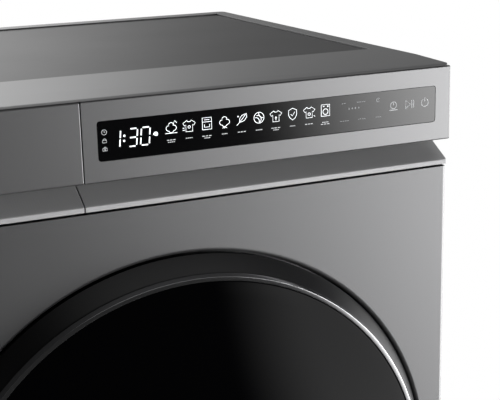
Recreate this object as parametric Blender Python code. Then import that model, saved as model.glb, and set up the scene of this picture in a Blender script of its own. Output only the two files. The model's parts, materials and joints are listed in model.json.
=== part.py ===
"""Free-standing heat pump clothes dryer, built as an assembly of separate pieces.

Frame: metres, +Z up, the front faces -Y. The origin is on the floor, under the middle
of the box that holds the whole machine, the proud door included.
"""
import bpy
import bmesh
from math import cos, pi, radians, sin, sqrt
from mathutils import Matrix, Vector

for leftover in list(bpy.data.objects):
    bpy.data.objects.remove(leftover)

# ---- overall sizes
WIDTH = 0.595
HEIGHT = 0.850
DEPTH = 0.600            # control fascia to the back of the rear duct cover
DOOR_PROUD = 0.045       # middle of the door glass, in front of the fascia
FOOT_HEIGHT = 0.018      # floor to the underside of the base
FOOT_IN = 0.0525         # middle of a foot, in from the side

# ---- fits and walls
FIT = 0.0003             # between pieces that touch
PLAY = 0.0010            # around pieces that slide or turn
SHEET = 0.0012           # painted steel sheet
WALL = 0.0025            # moulded plastic
ROUND = 72               # sides of the drum and of the belt around it
SIDES = 20               # sides of small round pieces

# ---- front
PANEL_SET_BACK = 0.0045  # front panel behind the fascia
FASCIA_HEIGHT = 0.0758
FASCIA_DROP = 0.0038     # fascia's top edge under the top of the machine
FASCIA_THICK = 0.003
FASCIA_RETURN = 0.040    # depth of the fascia's top and ends
FASCIA_LOWER_RETURN = 0.022
SEAM_X = -0.0917         # between the tank's front and the fascia
SEAM_GAP = 0.0010
WINDOW_LEFT = 0.0141     # fascia's left end to the display window
WINDOW_WIDTH = 0.3580
WINDOW_HEIGHT = 0.0374
WINDOW_RISE = 0.0194     # fascia's lower edge to the window
WINDOW_CORNER = 0.003
GRIP_GAP = 0.0219        # finger gap under the fascia
LIP_HEIGHT = 0.0055
GROOVE = 0.0022          # between the grip lip and the front panel
GRIP_DEPTH = 0.045
GRIP_RISE = 0.56         # slope of the grip strip
KICK_HEIGHT = 0.112      # top of the kick panel over the base
PANEL_RETURN = 0.020
PANEL_CORNER = 0.004
SIDE_FLANGE = 0.014

# ---- top
TOP_THICK = 0.0272
TOP_SLOPE_END = 0.065    # the front band rises to full height here
TOP_INSET_FRONT = 0.128  # fascia to the inset panel
TOP_RIM = 0.020
TOP_BACK_RIM = 0.025
TOP_GAP = 0.0012
TOP_INSET_DROP = 0.0015
TOP_PANEL_THICK = 0.0057
TOP_CORNER = 0.008

# ---- door
DOOR_Z = 0.4178
DOOR_LAP = 0.0598        # door ring beyond the port, all round
RING_TAPER = 0.0146      # cone ring's front edge inside its rear edge
TRIM_WIDTH = 0.0046
RING_PROUD = 0.0149      # front of the cone, in front of the fascia
TRIM_PROUD = 0.0219
GLASS_THICK = 0.004
GLASS_LEDGE = 0.0150     # seat behind the glass's edge
DISH_GAP = 0.0014        # recess around the ring
DISH_DEPTH = 0.012       # recess in the front panel that the door closes into
DISH_EDGE = 0.003        # rounding of the recess's edge
PORT_RIM = 0.0155        # port beyond the air collar
BOWL_GAP = 0.0215        # bowl inside the port
BOWL_DEPTH = 0.036       # behind the panel plane
HINGE_OUT = 0.0032       # hinge pin beyond the ring
GRIP_IN = 0.0113         # finger recess, in from the ring's edge
HOOK_IN = 0.0223         # hook's pivot, in from the ring's edge
HOOK_SLOT = 0.010        # half width of the slot around the hook
HINGE_PROUD = 0.010      # hinge pin in front of the panel plane
KNUCKLE_R = 0.006
KNUCKLE_HALF = 0.0295
HINGE_HALF = 0.045
PIN_R = 0.0025

# ---- drum and drive
DRUM_Z = 0.450
DRUM_R = 0.2875
DRUM_FRONT = 0.066       # behind the panel plane
DRUM_LENGTH = 0.452
DRUM_SHEET = 0.0012
NECK_IN = 0.0395         # drum's front opening, in from its shell
COLLAR_GAP = 0.0485      # air collar inside the drum's opening
COLLAR_WALL = 0.0045
SHAFT_R = 0.010
LIFTER_HEIGHT = 0.045
BELT_Y = 0.050           # middle of the belt
BELT_WIDTH = 0.012
BELT_THICK = 0.0015
ROLLER_R = 0.025
ROLLER_ANGLE = 35
MOTOR_X = 0.170
MOTOR_Z = 0.085
MOTOR_R = 0.050
PULLEY_R = 0.012
IDLER = (0.060, 0.126)   # x, z
IDLER_R = 0.015
ARM_PIVOT = (0.105, 0.128)
ARM_THICK = 0.003

# ---- water tank and filter
TANK_LENGTH = 0.440
TANK_FLOOR = 0.0730      # tank's underside below the top of the machine, less its wall
FILTER_HALF = 0.080
FILTER_THICK = 0.014
FILTER_HEIGHT = 0.100

# ---- places that follow from the sizes above
NECK_R = DRUM_R - NECK_IN
COLLAR_R = NECK_R - COLLAR_GAP - COLLAR_WALL
PORT_R = COLLAR_R + PORT_RIM
BOWL_R = PORT_R - BOWL_GAP
RING_R = PORT_R + DOOR_LAP
RING_FRONT_R = RING_R - RING_TAPER
TRIM_FRONT_R = RING_FRONT_R - TRIM_WIDTH
DISH_R = RING_R + DISH_GAP
HINGE_X = RING_R + HINGE_OUT
HOOK_X = HOOK_IN - RING_R
Y_FASCIA = -(DEPTH + DOOR_PROUD) / 2
Y_FASCIA += DOOR_PROUD
Y_PANEL = Y_FASCIA + PANEL_SET_BACK
Y_BACK = Y_FASCIA + DEPTH
REAR_BULGE = 0.015
Y_CASE = Y_BACK - REAR_BULGE
HALF = WIDTH / 2
INSIDE = HALF - SHEET - FIT
Z_FASCIA_TOP = HEIGHT - FASCIA_DROP
Z_FASCIA = Z_FASCIA_TOP - FASCIA_HEIGHT
Z_LIP = Z_FASCIA - GRIP_GAP
Z_STRIP = Z_LIP - LIP_HEIGHT
Z_PANEL_TOP = Z_STRIP - GROOVE
Z_KICK_TOP = FOOT_HEIGHT + KICK_HEIGHT
Z_TOP_FRAME = HEIGHT - TOP_THICK
GRIP_TOP = Z_LIP + (GRIP_DEPTH - PANEL_SET_BACK) * GRIP_RISE
Y_DRUM = Y_PANEL + DRUM_FRONT
Y_DRUM_BACK = Y_DRUM + DRUM_LENGTH


# ---- tools
def finish(name, colour, roughness, metallic=0.0):
    """A plain material with the piece's colour."""
    made = bpy.data.materials.new(name)
    made.use_nodes = True
    shader = made.node_tree.nodes["Principled BSDF"]
    shader.inputs["Base Color"].default_value = (*colour, 1.0)
    shader.inputs["Roughness"].default_value = roughness
    shader.inputs["Metallic"].default_value = metallic
    return made


def add(name, shape, look):
    """Turn a bmesh into a named object."""
    bmesh.ops.remove_doubles(shape, verts=shape.verts, dist=1e-6)
    bmesh.ops.recalc_face_normals(shape, faces=shape.faces)
    mesh = bpy.data.meshes.new(name)
    shape.to_mesh(mesh)
    shape.free()
    if look is not None:
        mesh.materials.append(finish(name, *look))
    mesh.shade_smooth()
    mesh.set_sharp_from_angle(angle=radians(30))
    piece = bpy.data.objects.new(name, mesh)
    bpy.context.scene.collection.objects.link(piece)
    return piece


def prism(name, outline, axis, low, high, look=None):
    """Extrude an outline along an axis; it lists (y, z), (x, z) or (x, y) points."""
    place = {
        "X": lambda u, v, w: (w, u, v),
        "Y": lambda u, v, w: (u, w, v),
        "Z": lambda u, v, w: (u, v, w),
    }[axis]
    shape = bmesh.new()
    corners = [shape.verts.new(place(u, v, low)) for u, v in outline]
    cap = shape.faces.new(corners)
    grown = bmesh.ops.extrude_face_region(shape, geom=[cap])
    moved = [item for item in grown["geom"] if isinstance(item, bmesh.types.BMVert)]
    travel = Vector(place(0.0, 0.0, high)) - Vector(place(0.0, 0.0, low))
    bmesh.ops.translate(shape, verts=moved, vec=travel)
    return add(name, shape, look)


def block(name, x, y, z, look=None, edge=0.0):
    """A box from (low, high) pairs, with rounded edges."""
    piece = prism(name, [(x[0], y[0]), (x[1], y[0]), (x[1], y[1]), (x[0], y[1])], "Z", *z, look)
    if edge:
        shape = bmesh.new()
        shape.from_mesh(piece.data)
        bmesh.ops.bevel(shape, geom=shape.edges, offset=edge, segments=2, affect="EDGES", profile=0.5)
        shape.to_mesh(piece.data)
        shape.free()
    return piece


def turned(name, profile, centre, look=None, axis="Y", steps=SIDES):
    """Turn a closed profile of (radius, distance along the axis) points."""
    shape = bmesh.new()
    if axis == "Y":
        middle, direction = Vector((centre[0], 0.0, centre[1])), Vector((0.0, 1.0, 0.0))
        points = [middle + Vector((r, along, 0.0)) for r, along in profile]
    else:
        middle, direction = Vector((centre[0], centre[1], 0.0)), Vector((0.0, 0.0, 1.0))
        points = [middle + Vector((r, 0.0, along)) for r, along in profile]
    verts = [shape.verts.new(point) for point in points]
    edges = [shape.edges.new((verts[i - 1], verts[i])) for i in range(len(verts))]
    bmesh.ops.spin(shape, geom=verts + edges, cent=middle, axis=direction,
                   angle=2 * pi, steps=steps, use_merge=True)
    bmesh.ops.remove_doubles(shape, verts=shape.verts, dist=1e-6)
    bmesh.ops.dissolve_degenerate(shape, edges=shape.edges, dist=1e-7)
    loose = [edge for edge in shape.edges if not edge.link_faces]
    bmesh.ops.delete(shape, geom=loose, context="EDGES")
    return add(name, shape, look)


def rod(name, centre, radius, low, high, look=None, axis="Y", steps=SIDES):
    """A plain round bar."""
    outline = arc(centre, radius, 0, 360 - 360 / steps, steps - 1)
    return prism(name, outline, axis, low, high, look)


def pipe(name, centre, outer, inner, low, high, look=None, axis="Y", steps=SIDES):
    """A round bar with a bore right through."""
    profile = [(inner, low), (outer, low), (outer, high), (inner, high)]
    return turned(name, profile, centre, look, axis, steps)


def combine(target, tool, operation):
    """Cut, join or trim a piece with another, which is used up."""
    step = target.modifiers.new(operation, "BOOLEAN")
    step.operation = operation
    step.solver = "EXACT"
    step.object = tool
    with bpy.context.temp_override(object=target, active_object=target, selected_objects=[target]):
        bpy.ops.object.modifier_apply(modifier=step.name)
    bpy.data.objects.remove(tool)
    return target


def cut(target, tool):
    return combine(target, tool, "DIFFERENCE")


def join(target, tool):
    return combine(target, tool, "UNION")


def arc(centre, radius, start, stop, count):
    """Points along an arc; the angles are in degrees."""
    angles = [radians(start + (stop - start) * i / count) for i in range(count + 1)]
    return [(centre[0] + radius * cos(a), centre[1] + radius * sin(a)) for a in angles]


def rounded(x, y, radius, count=4):
    """Outline of a rectangle with rounded corners."""
    corners = [(x[1], y[1], 0), (x[0], y[1], 90), (x[0], y[0], 180), (x[1], y[0], 270)]
    outline = []
    for u, v, start in corners:
        inner = (u - radius if u == x[1] else u + radius, v - radius if v == y[1] else v + radius)
        outline += arc(inner, radius, start, start + 90, count)
    return outline


def hull(circles, extra, count=ROUND):
    """Outline that a band takes around round pieces, given as (x, z, radius)."""
    points = []
    for x, z, radius in circles:
        points += arc((x, z), radius + extra, 0, 360 - 360 / count, count - 1)
    points = sorted(set(points))
    outline = []
    for run in (points, points[::-1]):
        chain = []
        for p in run:
            while len(chain) > 1:
                (ax, az), (bx, bz) = chain[-2], chain[-1]
                if (bx - ax) * (p[1] - az) - (bz - az) * (p[0] - ax) > 0:
                    break
                chain.pop()
            chain.append(p)
        outline += chain[:-1]
    return outline


def pivot(name, place):
    """Empty on a joint's axis."""
    mark = bpy.data.objects.new(name, None)
    mark.location = place
    bpy.context.scene.collection.objects.link(mark)
    return mark


def hang(mark, *pieces):
    """Give moving pieces their origin on the joint's axis."""
    for piece in pieces:
        piece.data.transform(Matrix.Translation(-mark.location))
        piece.parent = mark


# ---- colours and finishes: colour, roughness, metallic
GRAPHITE = ((0.19, 0.19, 0.20), 0.35, 0.6)
FASCIA_LOOK = ((0.21, 0.21, 0.22), 0.38, 0.6)
STRIP_LOOK = ((0.08, 0.08, 0.085), 0.5, 0.3)
DARK_TOP = ((0.06, 0.06, 0.063), 0.4, 0.2)
BLACK_GLOSS = ((0.008, 0.008, 0.010), 0.06)
BLACK = ((0.02, 0.02, 0.021), 0.5)
CHROME = ((0.75, 0.75, 0.76), 0.08, 1.0)
GALVANISED = ((0.55, 0.56, 0.57), 0.45, 1.0)
STAINLESS = ((0.62, 0.62, 0.62), 0.3, 1.0)
GREY_PLASTIC = ((0.35, 0.36, 0.37), 0.55)
PALE_PLASTIC = ((0.65, 0.66, 0.66), 0.5)
RUBBER = ((0.03, 0.03, 0.03), 0.8)
FELT = ((0.30, 0.29, 0.27), 0.95)
CLEAR = ((0.75, 0.80, 0.82), 0.05)
BOARD = ((0.03, 0.16, 0.07), 0.5)


# ---- casing
def wrap_outline(half, front, depth):
    """Plan of a sheet across the front, with a rounded return at each side."""
    r = PANEL_CORNER
    back = front + depth
    outline = [(-half, back)] + arc((-half + r, front + r), r, 180, 270, 4)
    outline += arc((half - r, front + r), r, 270, 360, 4) + [(half, back)]
    inner = half - SHEET
    r -= SHEET
    outline += [(inner, back)] + arc((inner - r, front + SHEET + r), r, 360, 270, 4)
    outline += arc((-inner + r, front + SHEET + r), r, 270, 180, 4) + [(-inner, back)]
    return outline


def make_side(name, side):
    """Side sheet with a flange at the front and the back, notched behind the grip gap."""
    x = (side * HALF, side * (HALF - SHEET), side * (HALF - SIDE_FLANGE))
    front = Y_PANEL + PANEL_RETURN + FIT
    outline = [(x[0], front), (x[0], Y_CASE), (x[2], Y_CASE), (x[2], Y_CASE - SHEET),
               (x[1], Y_CASE - SHEET), (x[1], front + SHEET), (x[2], front + SHEET), (x[2], front)]
    piece = prism(name, outline, "Z", FOOT_HEIGHT + 0.004, Z_TOP_FRAME - FIT, GRAPHITE)
    notch = (Y_FASCIA - 0.01, Y_FASCIA + GRIP_DEPTH + WALL + FIT)
    reach = (min(x) - 0.005, max(x) + 0.005)
    return cut(piece, block("notch", reach, notch, (Z_STRIP - FIT, HEIGHT)))


def make_front_panel():
    """Front sheet, drawn in around the door."""
    panel = prism("front_panel", wrap_outline(HALF, Y_PANEL, PANEL_RETURN), "Z",
                  Z_KICK_TOP, Z_PANEL_TOP, GRAPHITE)
    flange = block("flange", (-INSIDE + 0.004, INSIDE - 0.004), (Y_PANEL + SHEET / 2, Y_PANEL + PANEL_RETURN),
                   (Z_PANEL_TOP - SHEET, Z_PANEL_TOP - FIT))
    join(panel, flange)
    outer = DISH_R + DISH_EDGE + 0.0015
    floor = Y_PANEL + DISH_DEPTH
    pan = rod("pan", (0, DOOR_Z), outer, Y_PANEL + SHEET / 2, floor + SHEET, steps=ROUND)
    join(panel, pan)
    edge = arc((DISH_R + DISH_EDGE, Y_PANEL + DISH_EDGE), DISH_EDGE, 180, 258, 4)
    profile = [(0, Y_PANEL - 0.01), (edge[-1][0] + FIT, Y_PANEL - 0.01)] + edge[::-1]
    profile += [(DISH_R, floor), (PORT_R, floor), (PORT_R, floor + 0.01), (0, floor + 0.01)]
    cut(panel, turned("hollow", profile, (0, DOOR_Z), steps=ROUND))
    slot = ((HOOK_X - HOOK_SLOT, HOOK_X + HOOK_SLOT), (Y_PANEL, Y_PANEL + 0.03), (DOOR_Z - 0.010, DOOR_Z + 0.010))
    return cut(panel, block("slot", *slot))


FLAP_X = (-0.2700, -0.0450)
FLAP_Z = (0.0350, 0.1150)
FLAP_HINGE = (Y_PANEL + 0.0035, 0.0380)
FLAP_PIN_R = 0.0015


def make_kick_panel():
    """Plinth sheet with the opening and the ears of the service flap."""
    panel = prism("kick_panel", wrap_outline(HALF, Y_PANEL, PANEL_RETURN), "Z",
                  FOOT_HEIGHT + 0.0035, Z_KICK_TOP - PLAY, GRAPHITE)
    hole = ((FLAP_X[0] - PLAY, FLAP_X[1] + PLAY), (Y_PANEL - 0.01, Y_PANEL + 0.01),
            (FLAP_Z[0] - 1.5 * PLAY, FLAP_Z[1] + PLAY))
    cut(panel, block("hole", *hole))
    y, z = FLAP_HINGE
    for x in (FLAP_X[0] - 0.0060, FLAP_X[1] + 0.0020):
        ear = block("ear", (x, x + 0.004), (Y_PANEL + SHEET / 2, y + 0.005), (z - 0.0042, z + 0.0045))
        join(panel, ear)
        bore = arc((y, z), FLAP_PIN_R + FIT, 0, 345, 23)
        cut(panel, prism("bore", bore, "X", x - 0.01, x + 0.01))
    return panel


def make_service_flap():
    """Plinth flap, hinged on two pins along its lower edge."""
    flap = block("service_flap", FLAP_X, (Y_PANEL, Y_PANEL + 0.003), FLAP_Z, GRAPHITE, 0.0006)
    y, z = FLAP_HINGE
    for x, side in ((FLAP_X[0], -1), (FLAP_X[1], 1)):
        arm = sorted((x, x - side * 0.006))
        join(flap, block("arm", arm, (Y_PANEL + 0.0015, y + 0.003), (z - 0.002, z + 0.012)))
        pin = sorted((x - side * 0.003, x + side * 0.0055))
        join(flap, prism("pin", arc((y, z), FLAP_PIN_R, 0, 345, 23), "X", *pin))
    hang(pivot("flap_axis", (0, y, z)), flap)
    return flap


def make_top_frame():
    """Moulded frame around the inset top panel."""
    front = Y_FASCIA
    sides = [(front, Z_FASCIA_TOP + FIT), (front + 0.004, HEIGHT - 0.0018),
             (front + TOP_SLOPE_END, HEIGHT), (Y_CASE, HEIGHT), (Y_CASE, Z_TOP_FRAME),
             (front + GRIP_DEPTH + WALL + FIT, Z_TOP_FRAME),
             (front + GRIP_DEPTH + WALL + FIT, Z_FASCIA_TOP + FIT)]
    frame = prism("top_frame", sides, "X", -HALF, HALF, DARK_TOP)
    plan = rounded((-HALF, HALF), (front, Y_CASE), TOP_CORNER)
    combine(frame, prism("plan", plan, "Z", Z_TOP_FRAME - 0.01, HEIGHT + 0.01), "INTERSECT")
    x = HALF - TOP_RIM
    y = (front + TOP_INSET_FRONT, Y_CASE - TOP_BACK_RIM)
    seat = HEIGHT - TOP_INSET_DROP - TOP_PANEL_THICK - FIT
    cut(frame, block("pocket", (-x, x), y, (seat, HEIGHT + 0.01)))
    ledge = 0.010
    hole = ((-x + ledge, x - ledge), (y[0] + ledge, y[1] - ledge))
    cut(frame, block("hole", *hole, (Z_TOP_FRAME - 0.01, HEIGHT)))
    panel_x = (-x + TOP_GAP, x - TOP_GAP)
    panel_y = (y[0] + TOP_GAP, y[1] - TOP_GAP)
    block("top_panel", panel_x, panel_y, (seat + FIT, HEIGHT - TOP_INSET_DROP), DARK_TOP, 0.0006)


def make_rear():
    """Rear sheet with its air holes, and the duct cover over them."""
    y = Y_CASE - SHEET - FIT - SHEET
    panel = block("rear_panel", (-INSIDE, INSIDE), (y, y + SHEET),
                  (FOOT_HEIGHT + 0.004, Z_TOP_FRAME - FIT), GALVANISED)
    for i in range(6):
        a = 2 * pi * i / 6
        centre = (0.120 * cos(a), DRUM_Z + 0.120 * sin(a))
        cut(panel, rod("air_hole", centre, 0.030, y - 0.01, y + 0.01))
    cut(panel, rod("bearing_hole", (0, DRUM_Z), 0.0150, y - 0.01, y + 0.01))
    inner = y + SHEET + FIT
    radius = 0.235
    profile = [(radius, inner), (radius, inner + SHEET), (radius - 0.015, inner + SHEET)]
    profile += [(radius - 0.022, Y_BACK), (0, Y_BACK), (0, Y_BACK - SHEET)]
    profile += [(radius - 0.023, Y_BACK - SHEET), (radius - 0.0162, inner)]
    turned("rear_duct_cover", profile, (0, DRUM_Z), GALVANISED, steps=48)
    rear = y + SHEET + FIT
    pipe("rear_bearing", (0, DRUM_Z), 0.0145, SHAFT_R + FIT, rear - 0.012, rear + 0.004, STAINLESS)


def make_base():
    """Moulded tray on four levelling feet."""
    x = INSIDE - 0.0005
    y = (Y_PANEL + PANEL_RETURN + SHEET + 2 * FIT, Y_CASE - 3 * SHEET - 2 * FIT)
    tray = block("base_tray", (-x, x), y, (FOOT_HEIGHT, 0.062), GREY_PLASTIC)
    pocket = ((-x + 0.003, x - 0.003), (y[0] + 0.003, y[1] - 0.003), (FOOT_HEIGHT + 0.003, 0.07))
    cut(tray, block("pocket", *pocket))
    for i, (px, py) in enumerate((x, y) for y in (-0.215, 0.265) for x in (FOOT_IN - HALF, HALF - FOOT_IN)):
        join(tray, rod("boss", (px, py), 0.012, FOOT_HEIGHT + 0.001, 0.040, axis="Z"))
        cut(tray, rod("bore", (px, py), 0.0050 + FIT, 0.0, 0.036, axis="Z"))
        profile = [(0, 0), (0.018, 0), (0.020, 0.002), (0.020, 0.008), (0.017, 0.011), (0.0085, 0.012),
                   (0.0085, FOOT_HEIGHT - FIT), (0.005, FOOT_HEIGHT - FIT), (0.005, 0.0355), (0, 0.0355)]
        foot = turned(f"foot_{i + 1}", profile, (px, py), RUBBER, axis="Z")
        hang(pivot(f"foot_axis_{i + 1}", (px, py, 0)), foot)


# ---- control fascia and tank drawer
def make_facing(name, x, look):
    """One length of the fascia: a shell that is open behind, rounded along its front."""
    front = Y_FASCIA
    r = 0.0012
    sides = [(front, Z_FASCIA + r), (front, Z_FASCIA_TOP - r), (front + r, Z_FASCIA_TOP),
             (front + FASCIA_RETURN, Z_FASCIA_TOP), (front + FASCIA_RETURN, Z_FASCIA + 0.020),
             (front + FASCIA_LOWER_RETURN, Z_FASCIA), (front + r, Z_FASCIA)]
    shell = prism(name, sides, "X", *x, look)
    t = FASCIA_THICK
    hollow = [(front + t, Z_FASCIA + t), (front + t, Z_FASCIA_TOP - t), (front + 0.1, Z_FASCIA_TOP - t),
              (front + 0.1, Z_FASCIA + t)]
    return cut(shell, prism("hollow", hollow, "X", x[0] + t, x[1] - t))


def strip_outline():
    """Side view of the grip: lip, rising strip, and the wall behind the fascia."""
    y = (Y_FASCIA + PANEL_SET_BACK, Y_FASCIA + GRIP_DEPTH)
    top = Z_TOP_FRAME - FIT
    drop = 0.0029
    return [(y[0], Z_STRIP), (y[0], Z_LIP - 0.0008), (y[0] + 0.0010, Z_LIP + 0.0005), (y[1], GRIP_TOP),
            (y[1], top), (y[1] + WALL, top), (y[1] + WALL, GRIP_TOP + WALL * GRIP_RISE - drop),
            (y[0] + WALL, Z_LIP + WALL * GRIP_RISE - drop), (y[0] + WALL, Z_STRIP)]


def make_fascia():
    """Fixed fascia with its window, the board behind it and the strip under it."""
    x = (SEAM_X + SEAM_GAP / 2, HALF)
    facing = make_facing("control_fascia", x, FASCIA_LOOK)
    wx = (SEAM_X + WINDOW_LEFT, SEAM_X + WINDOW_LEFT + WINDOW_WIDTH)
    wz = (Z_FASCIA + WINDOW_RISE, Z_FASCIA + WINDOW_RISE + WINDOW_HEIGHT)
    hole = prism("hole", rounded(wx, wz, WINDOW_CORNER), "Y", Y_FASCIA - 0.01, Y_FASCIA + 0.01)
    cut(facing, hole)
    inner = rounded((wx[0] + FIT, wx[1] - FIT), (wz[0] + FIT, wz[1] - FIT), WINDOW_CORNER - FIT)
    prism("display_window", inner, "Y", Y_FASCIA + 0.0002, Y_FASCIA + FASCIA_THICK, BLACK_GLOSS)
    block("control_board", (wx[0] - 0.004, wx[1] + 0.006), (Y_FASCIA + FASCIA_THICK + FIT, Y_FASCIA + 0.018),
          (wz[0] - 0.006, wz[1] + 0.008), BOARD)
    prism("grip_strip", strip_outline(), "X", x[0], HALF, STRIP_LOOK)


def make_tank():
    """Condensate tank: its facing, strip and water box slide out together."""
    x = (-HALF, SEAM_X - SEAM_GAP / 2)
    facing = make_facing("tank_facing", x, FASCIA_LOOK)
    strip = prism("tank_grip_strip", strip_outline(), "X", *x, STRIP_LOOK)
    front = Y_FASCIA + GRIP_DEPTH + WALL + FIT
    bx = (-HALF + 0.0170, SEAM_X - 0.0120)
    bz = (HEIGHT - TANK_FLOOR, Z_TOP_FRAME - 0.003)
    box = block("water_tank", bx, (front, front + TANK_LENGTH), bz, CLEAR, 0.003)
    t = 0.003
    hollow = ((bx[0] + t, bx[1] - t), (front + t, front + TANK_LENGTH - t), (bz[0] + t, bz[1] - t))
    cut(box, block("hollow", *hollow))
    fill = (sum(bx) / 2, front + TANK_LENGTH - 0.060)
    cut(box, rod("fill_hole", fill, 0.022, bz[1] - 0.01, bz[1] + 0.01, axis="Z"))
    hang(pivot("tank_slide", (sum(bx) / 2, front, bz[0])), facing, strip, box)
    gap = PLAY
    rail = 0.0015
    sides = [(bx[0] - gap - rail, bz[0] - gap - rail), (bx[1] + gap + rail, bz[0] - gap - rail),
             (bx[1] + gap + rail, bz[1] - 0.012), (bx[1] + gap, bz[1] - 0.012),
             (bx[1] + gap, bz[0] - gap), (bx[0] - gap, bz[0] - gap),
             (bx[0] - gap, bz[1] - 0.012), (bx[0] - gap - rail, bz[1] - 0.012)]
    prism("tank_housing", sides, "Y", front + 0.002, front + TANK_LENGTH + 0.010, GREY_PLASTIC)


# ---- door
def make_door():
    """Round door: cone ring, bright trim, domed glass, inner frame, bowl and hinge arm."""
    centre = (0, DOOR_Z)
    back = Y_PANEL + DISH_DEPTH - 2 * FIT
    nose = Y_FASCIA - RING_PROUD
    mid = Y_PANEL + 0.0020
    inner_r = TRIM_FRONT_R + 0.0024
    trim_r = TRIM_FRONT_R - 0.0011
    profile = [(inner_r, mid), (RING_R - 0.0006, mid), (RING_R, Y_PANEL), (RING_FRONT_R + 0.0006, nose + 0.0008),
               (RING_FRONT_R, nose), (inner_r, nose + 0.0012)]
    ring = turned("door_ring", profile, centre, BLACK, steps=ROUND)
    front = Y_FASCIA - TRIM_PROUD
    trim = [(trim_r, front + 0.010), (trim_r, front), (TRIM_FRONT_R, front), (RING_FRONT_R, nose - FIT),
            (inner_r - FIT, nose + 0.0012 - FIT), (inner_r - FIT, front + 0.010)]
    trim_ring = turned("door_trim_ring", trim, centre, CHROME, steps=ROUND)

    glass_r = trim_r - FIT
    edge = front + 0.0008
    rise = edge - (Y_FASCIA - DOOR_PROUD)
    radius = (glass_r ** 2 + rise ** 2) / (2 * rise)
    steps = 5
    outer = [(glass_r * i / steps, edge - rise + radius - sqrt(radius ** 2 - (glass_r * i / steps) ** 2))
             for i in range(steps + 1)]
    inner = [(r, y + GLASS_THICK) for r, y in outer[::-1]]
    glass = turned("door_glass", outer + inner, centre, BLACK_GLOSS, steps=ROUND)

    shelf = edge + GLASS_THICK + FIT
    frame_r = DISH_R - 0.0022
    profile = [(BOWL_R + 0.001, back), (frame_r, back), (frame_r, mid + FIT), (trim_r - FIT, mid + FIT),
               (trim_r - FIT, shelf), (trim_r - GLASS_LEDGE, shelf), (trim_r - GLASS_LEDGE, Y_PANEL + 0.004),
               (BOWL_R + 0.001, Y_PANEL + 0.004)]
    frame = turned("door_inner_frame", profile, centre, BLACK, steps=ROUND)
    top = Y_PANEL + 0.0040
    deep = Y_PANEL + BOWL_DEPTH
    wall = 0.003
    bowl = [(BOWL_R + 0.001 - FIT, top), (BOWL_R + 0.001 - FIT, back), (BOWL_R - 0.006, back),
            (BOWL_R - 0.022, deep - 0.006), (BOWL_R - 0.030, deep), (0, deep), (0, deep - wall),
            (BOWL_R - 0.031, deep - wall), (BOWL_R - 0.025, deep - 0.008), (BOWL_R - 0.009, top)]
    bowl = turned("door_bowl", bowl, centre, CLEAR, steps=48)

    x, y = HINGE_X, Y_PANEL - HINGE_PROUD
    notch = ((HINGE_X - 0.0235, HINGE_X + 0.01), (y - 0.0037, Y_PANEL + 0.02),
             (DOOR_Z - KNUCKLE_HALF - 0.001, DOOR_Z + KNUCKLE_HALF + 0.001))
    cut(ring, block("notch", *notch))
    half = KNUCKLE_HALF
    reach = x - 0.0230
    arm = prism("hinge_arm", arc((x, y), KNUCKLE_R, 150, -150, 16) + [(reach, y - 0.003), (reach, y + 0.003)],
                "Z", DOOR_Z - half, DOOR_Z + half, BLACK)
    cut(arm, rod("bore", (x, y), PIN_R + FIT, DOOR_Z - 0.05, DOOR_Z + 0.05, axis="Z"))
    grip = ((-RING_R - 0.01, GRIP_IN - RING_R), (Y_PANEL - 0.0125, Y_PANEL + 0.02), (DOOR_Z - 0.060, DOOR_Z + 0.060))
    cut(ring, block("grip", *grip))
    cut(frame, block("grip", *grip))

    hook_x, hook_y = HOOK_X, Y_PANEL + 0.0080
    pocket = ((hook_x - 0.008, hook_x + 0.008), (Y_PANEL + 0.004, Y_PANEL + 0.02),
              (DOOR_Z - 0.0062, DOOR_Z + 0.0062))
    cut(frame, block("pocket", *pocket))
    outline = arc((hook_x, hook_y), 0.003, 180, 360, 10)
    outline += [(hook_x + 0.003, hook_y + 0.0160), (hook_x + 0.0005, hook_y + 0.0200),
                (hook_x - 0.0050, hook_y + 0.0160), (hook_x - 0.0030, hook_y + 0.0140)]
    hook = prism("door_hook", outline, "Z", DOOR_Z - 0.005, DOOR_Z + 0.005, STAINLESS)
    cut(hook, rod("bore", (hook_x, hook_y), 0.0015 + FIT, DOOR_Z - 0.01, DOOR_Z + 0.01, axis="Z"))
    join(frame, rod("hook_pin", (hook_x, hook_y), 0.0015, DOOR_Z - 0.008, DOOR_Z + 0.008, axis="Z"))
    hang(pivot("hook_axis", (hook_x, hook_y, DOOR_Z)), hook)
    hang(pivot("door_axis", (x, y, DOOR_Z)), ring, trim_ring, glass, frame, bowl, arm)


def make_hinge_and_catch():
    """Fixed half of the hinge, with its pin, and the catch behind the slot."""
    x, y = HINGE_X, Y_PANEL - HINGE_PROUD
    plate_x = x + 0.0025
    gap = 0.0006
    rear = Y_PANEL - FIT
    bracket = block("hinge_bracket", (plate_x, plate_x + 0.0165), (rear - 0.0030, rear),
                    (DOOR_Z - HINGE_HALF, DOOR_Z + HINGE_HALF), BLACK)
    outline = arc((x, y), KNUCKLE_R, 135, 315, 16) + [(x + 0.0140, rear - 0.001), (plate_x, rear - 0.001)]
    for low in (DOOR_Z - HINGE_HALF, DOOR_Z + KNUCKLE_HALF + gap):
        join(bracket, prism("lug", outline, "Z", low, low + HINGE_HALF - KNUCKLE_HALF - gap))
    join(bracket, rod("pin", (x, y), PIN_R, DOOR_Z - HINGE_HALF + 0.001, DOOR_Z + HINGE_HALF - 0.001, axis="Z"))
    floor = Y_PANEL + DISH_DEPTH + SHEET + FIT
    wide = HOOK_SLOT + 0.006
    catch = block("door_catch", (HOOK_X - wide, HOOK_X + wide), (floor, floor + 0.018), (DOOR_Z - 0.018, DOOR_Z + 0.018), BLACK)
    mouth = ((HOOK_X - HOOK_SLOT, HOOK_X + HOOK_SLOT), (floor - 0.01, floor + 0.0155), (DOOR_Z - 0.009, DOOR_Z + 0.009))
    cut(catch, block("mouth", *mouth))


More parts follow.
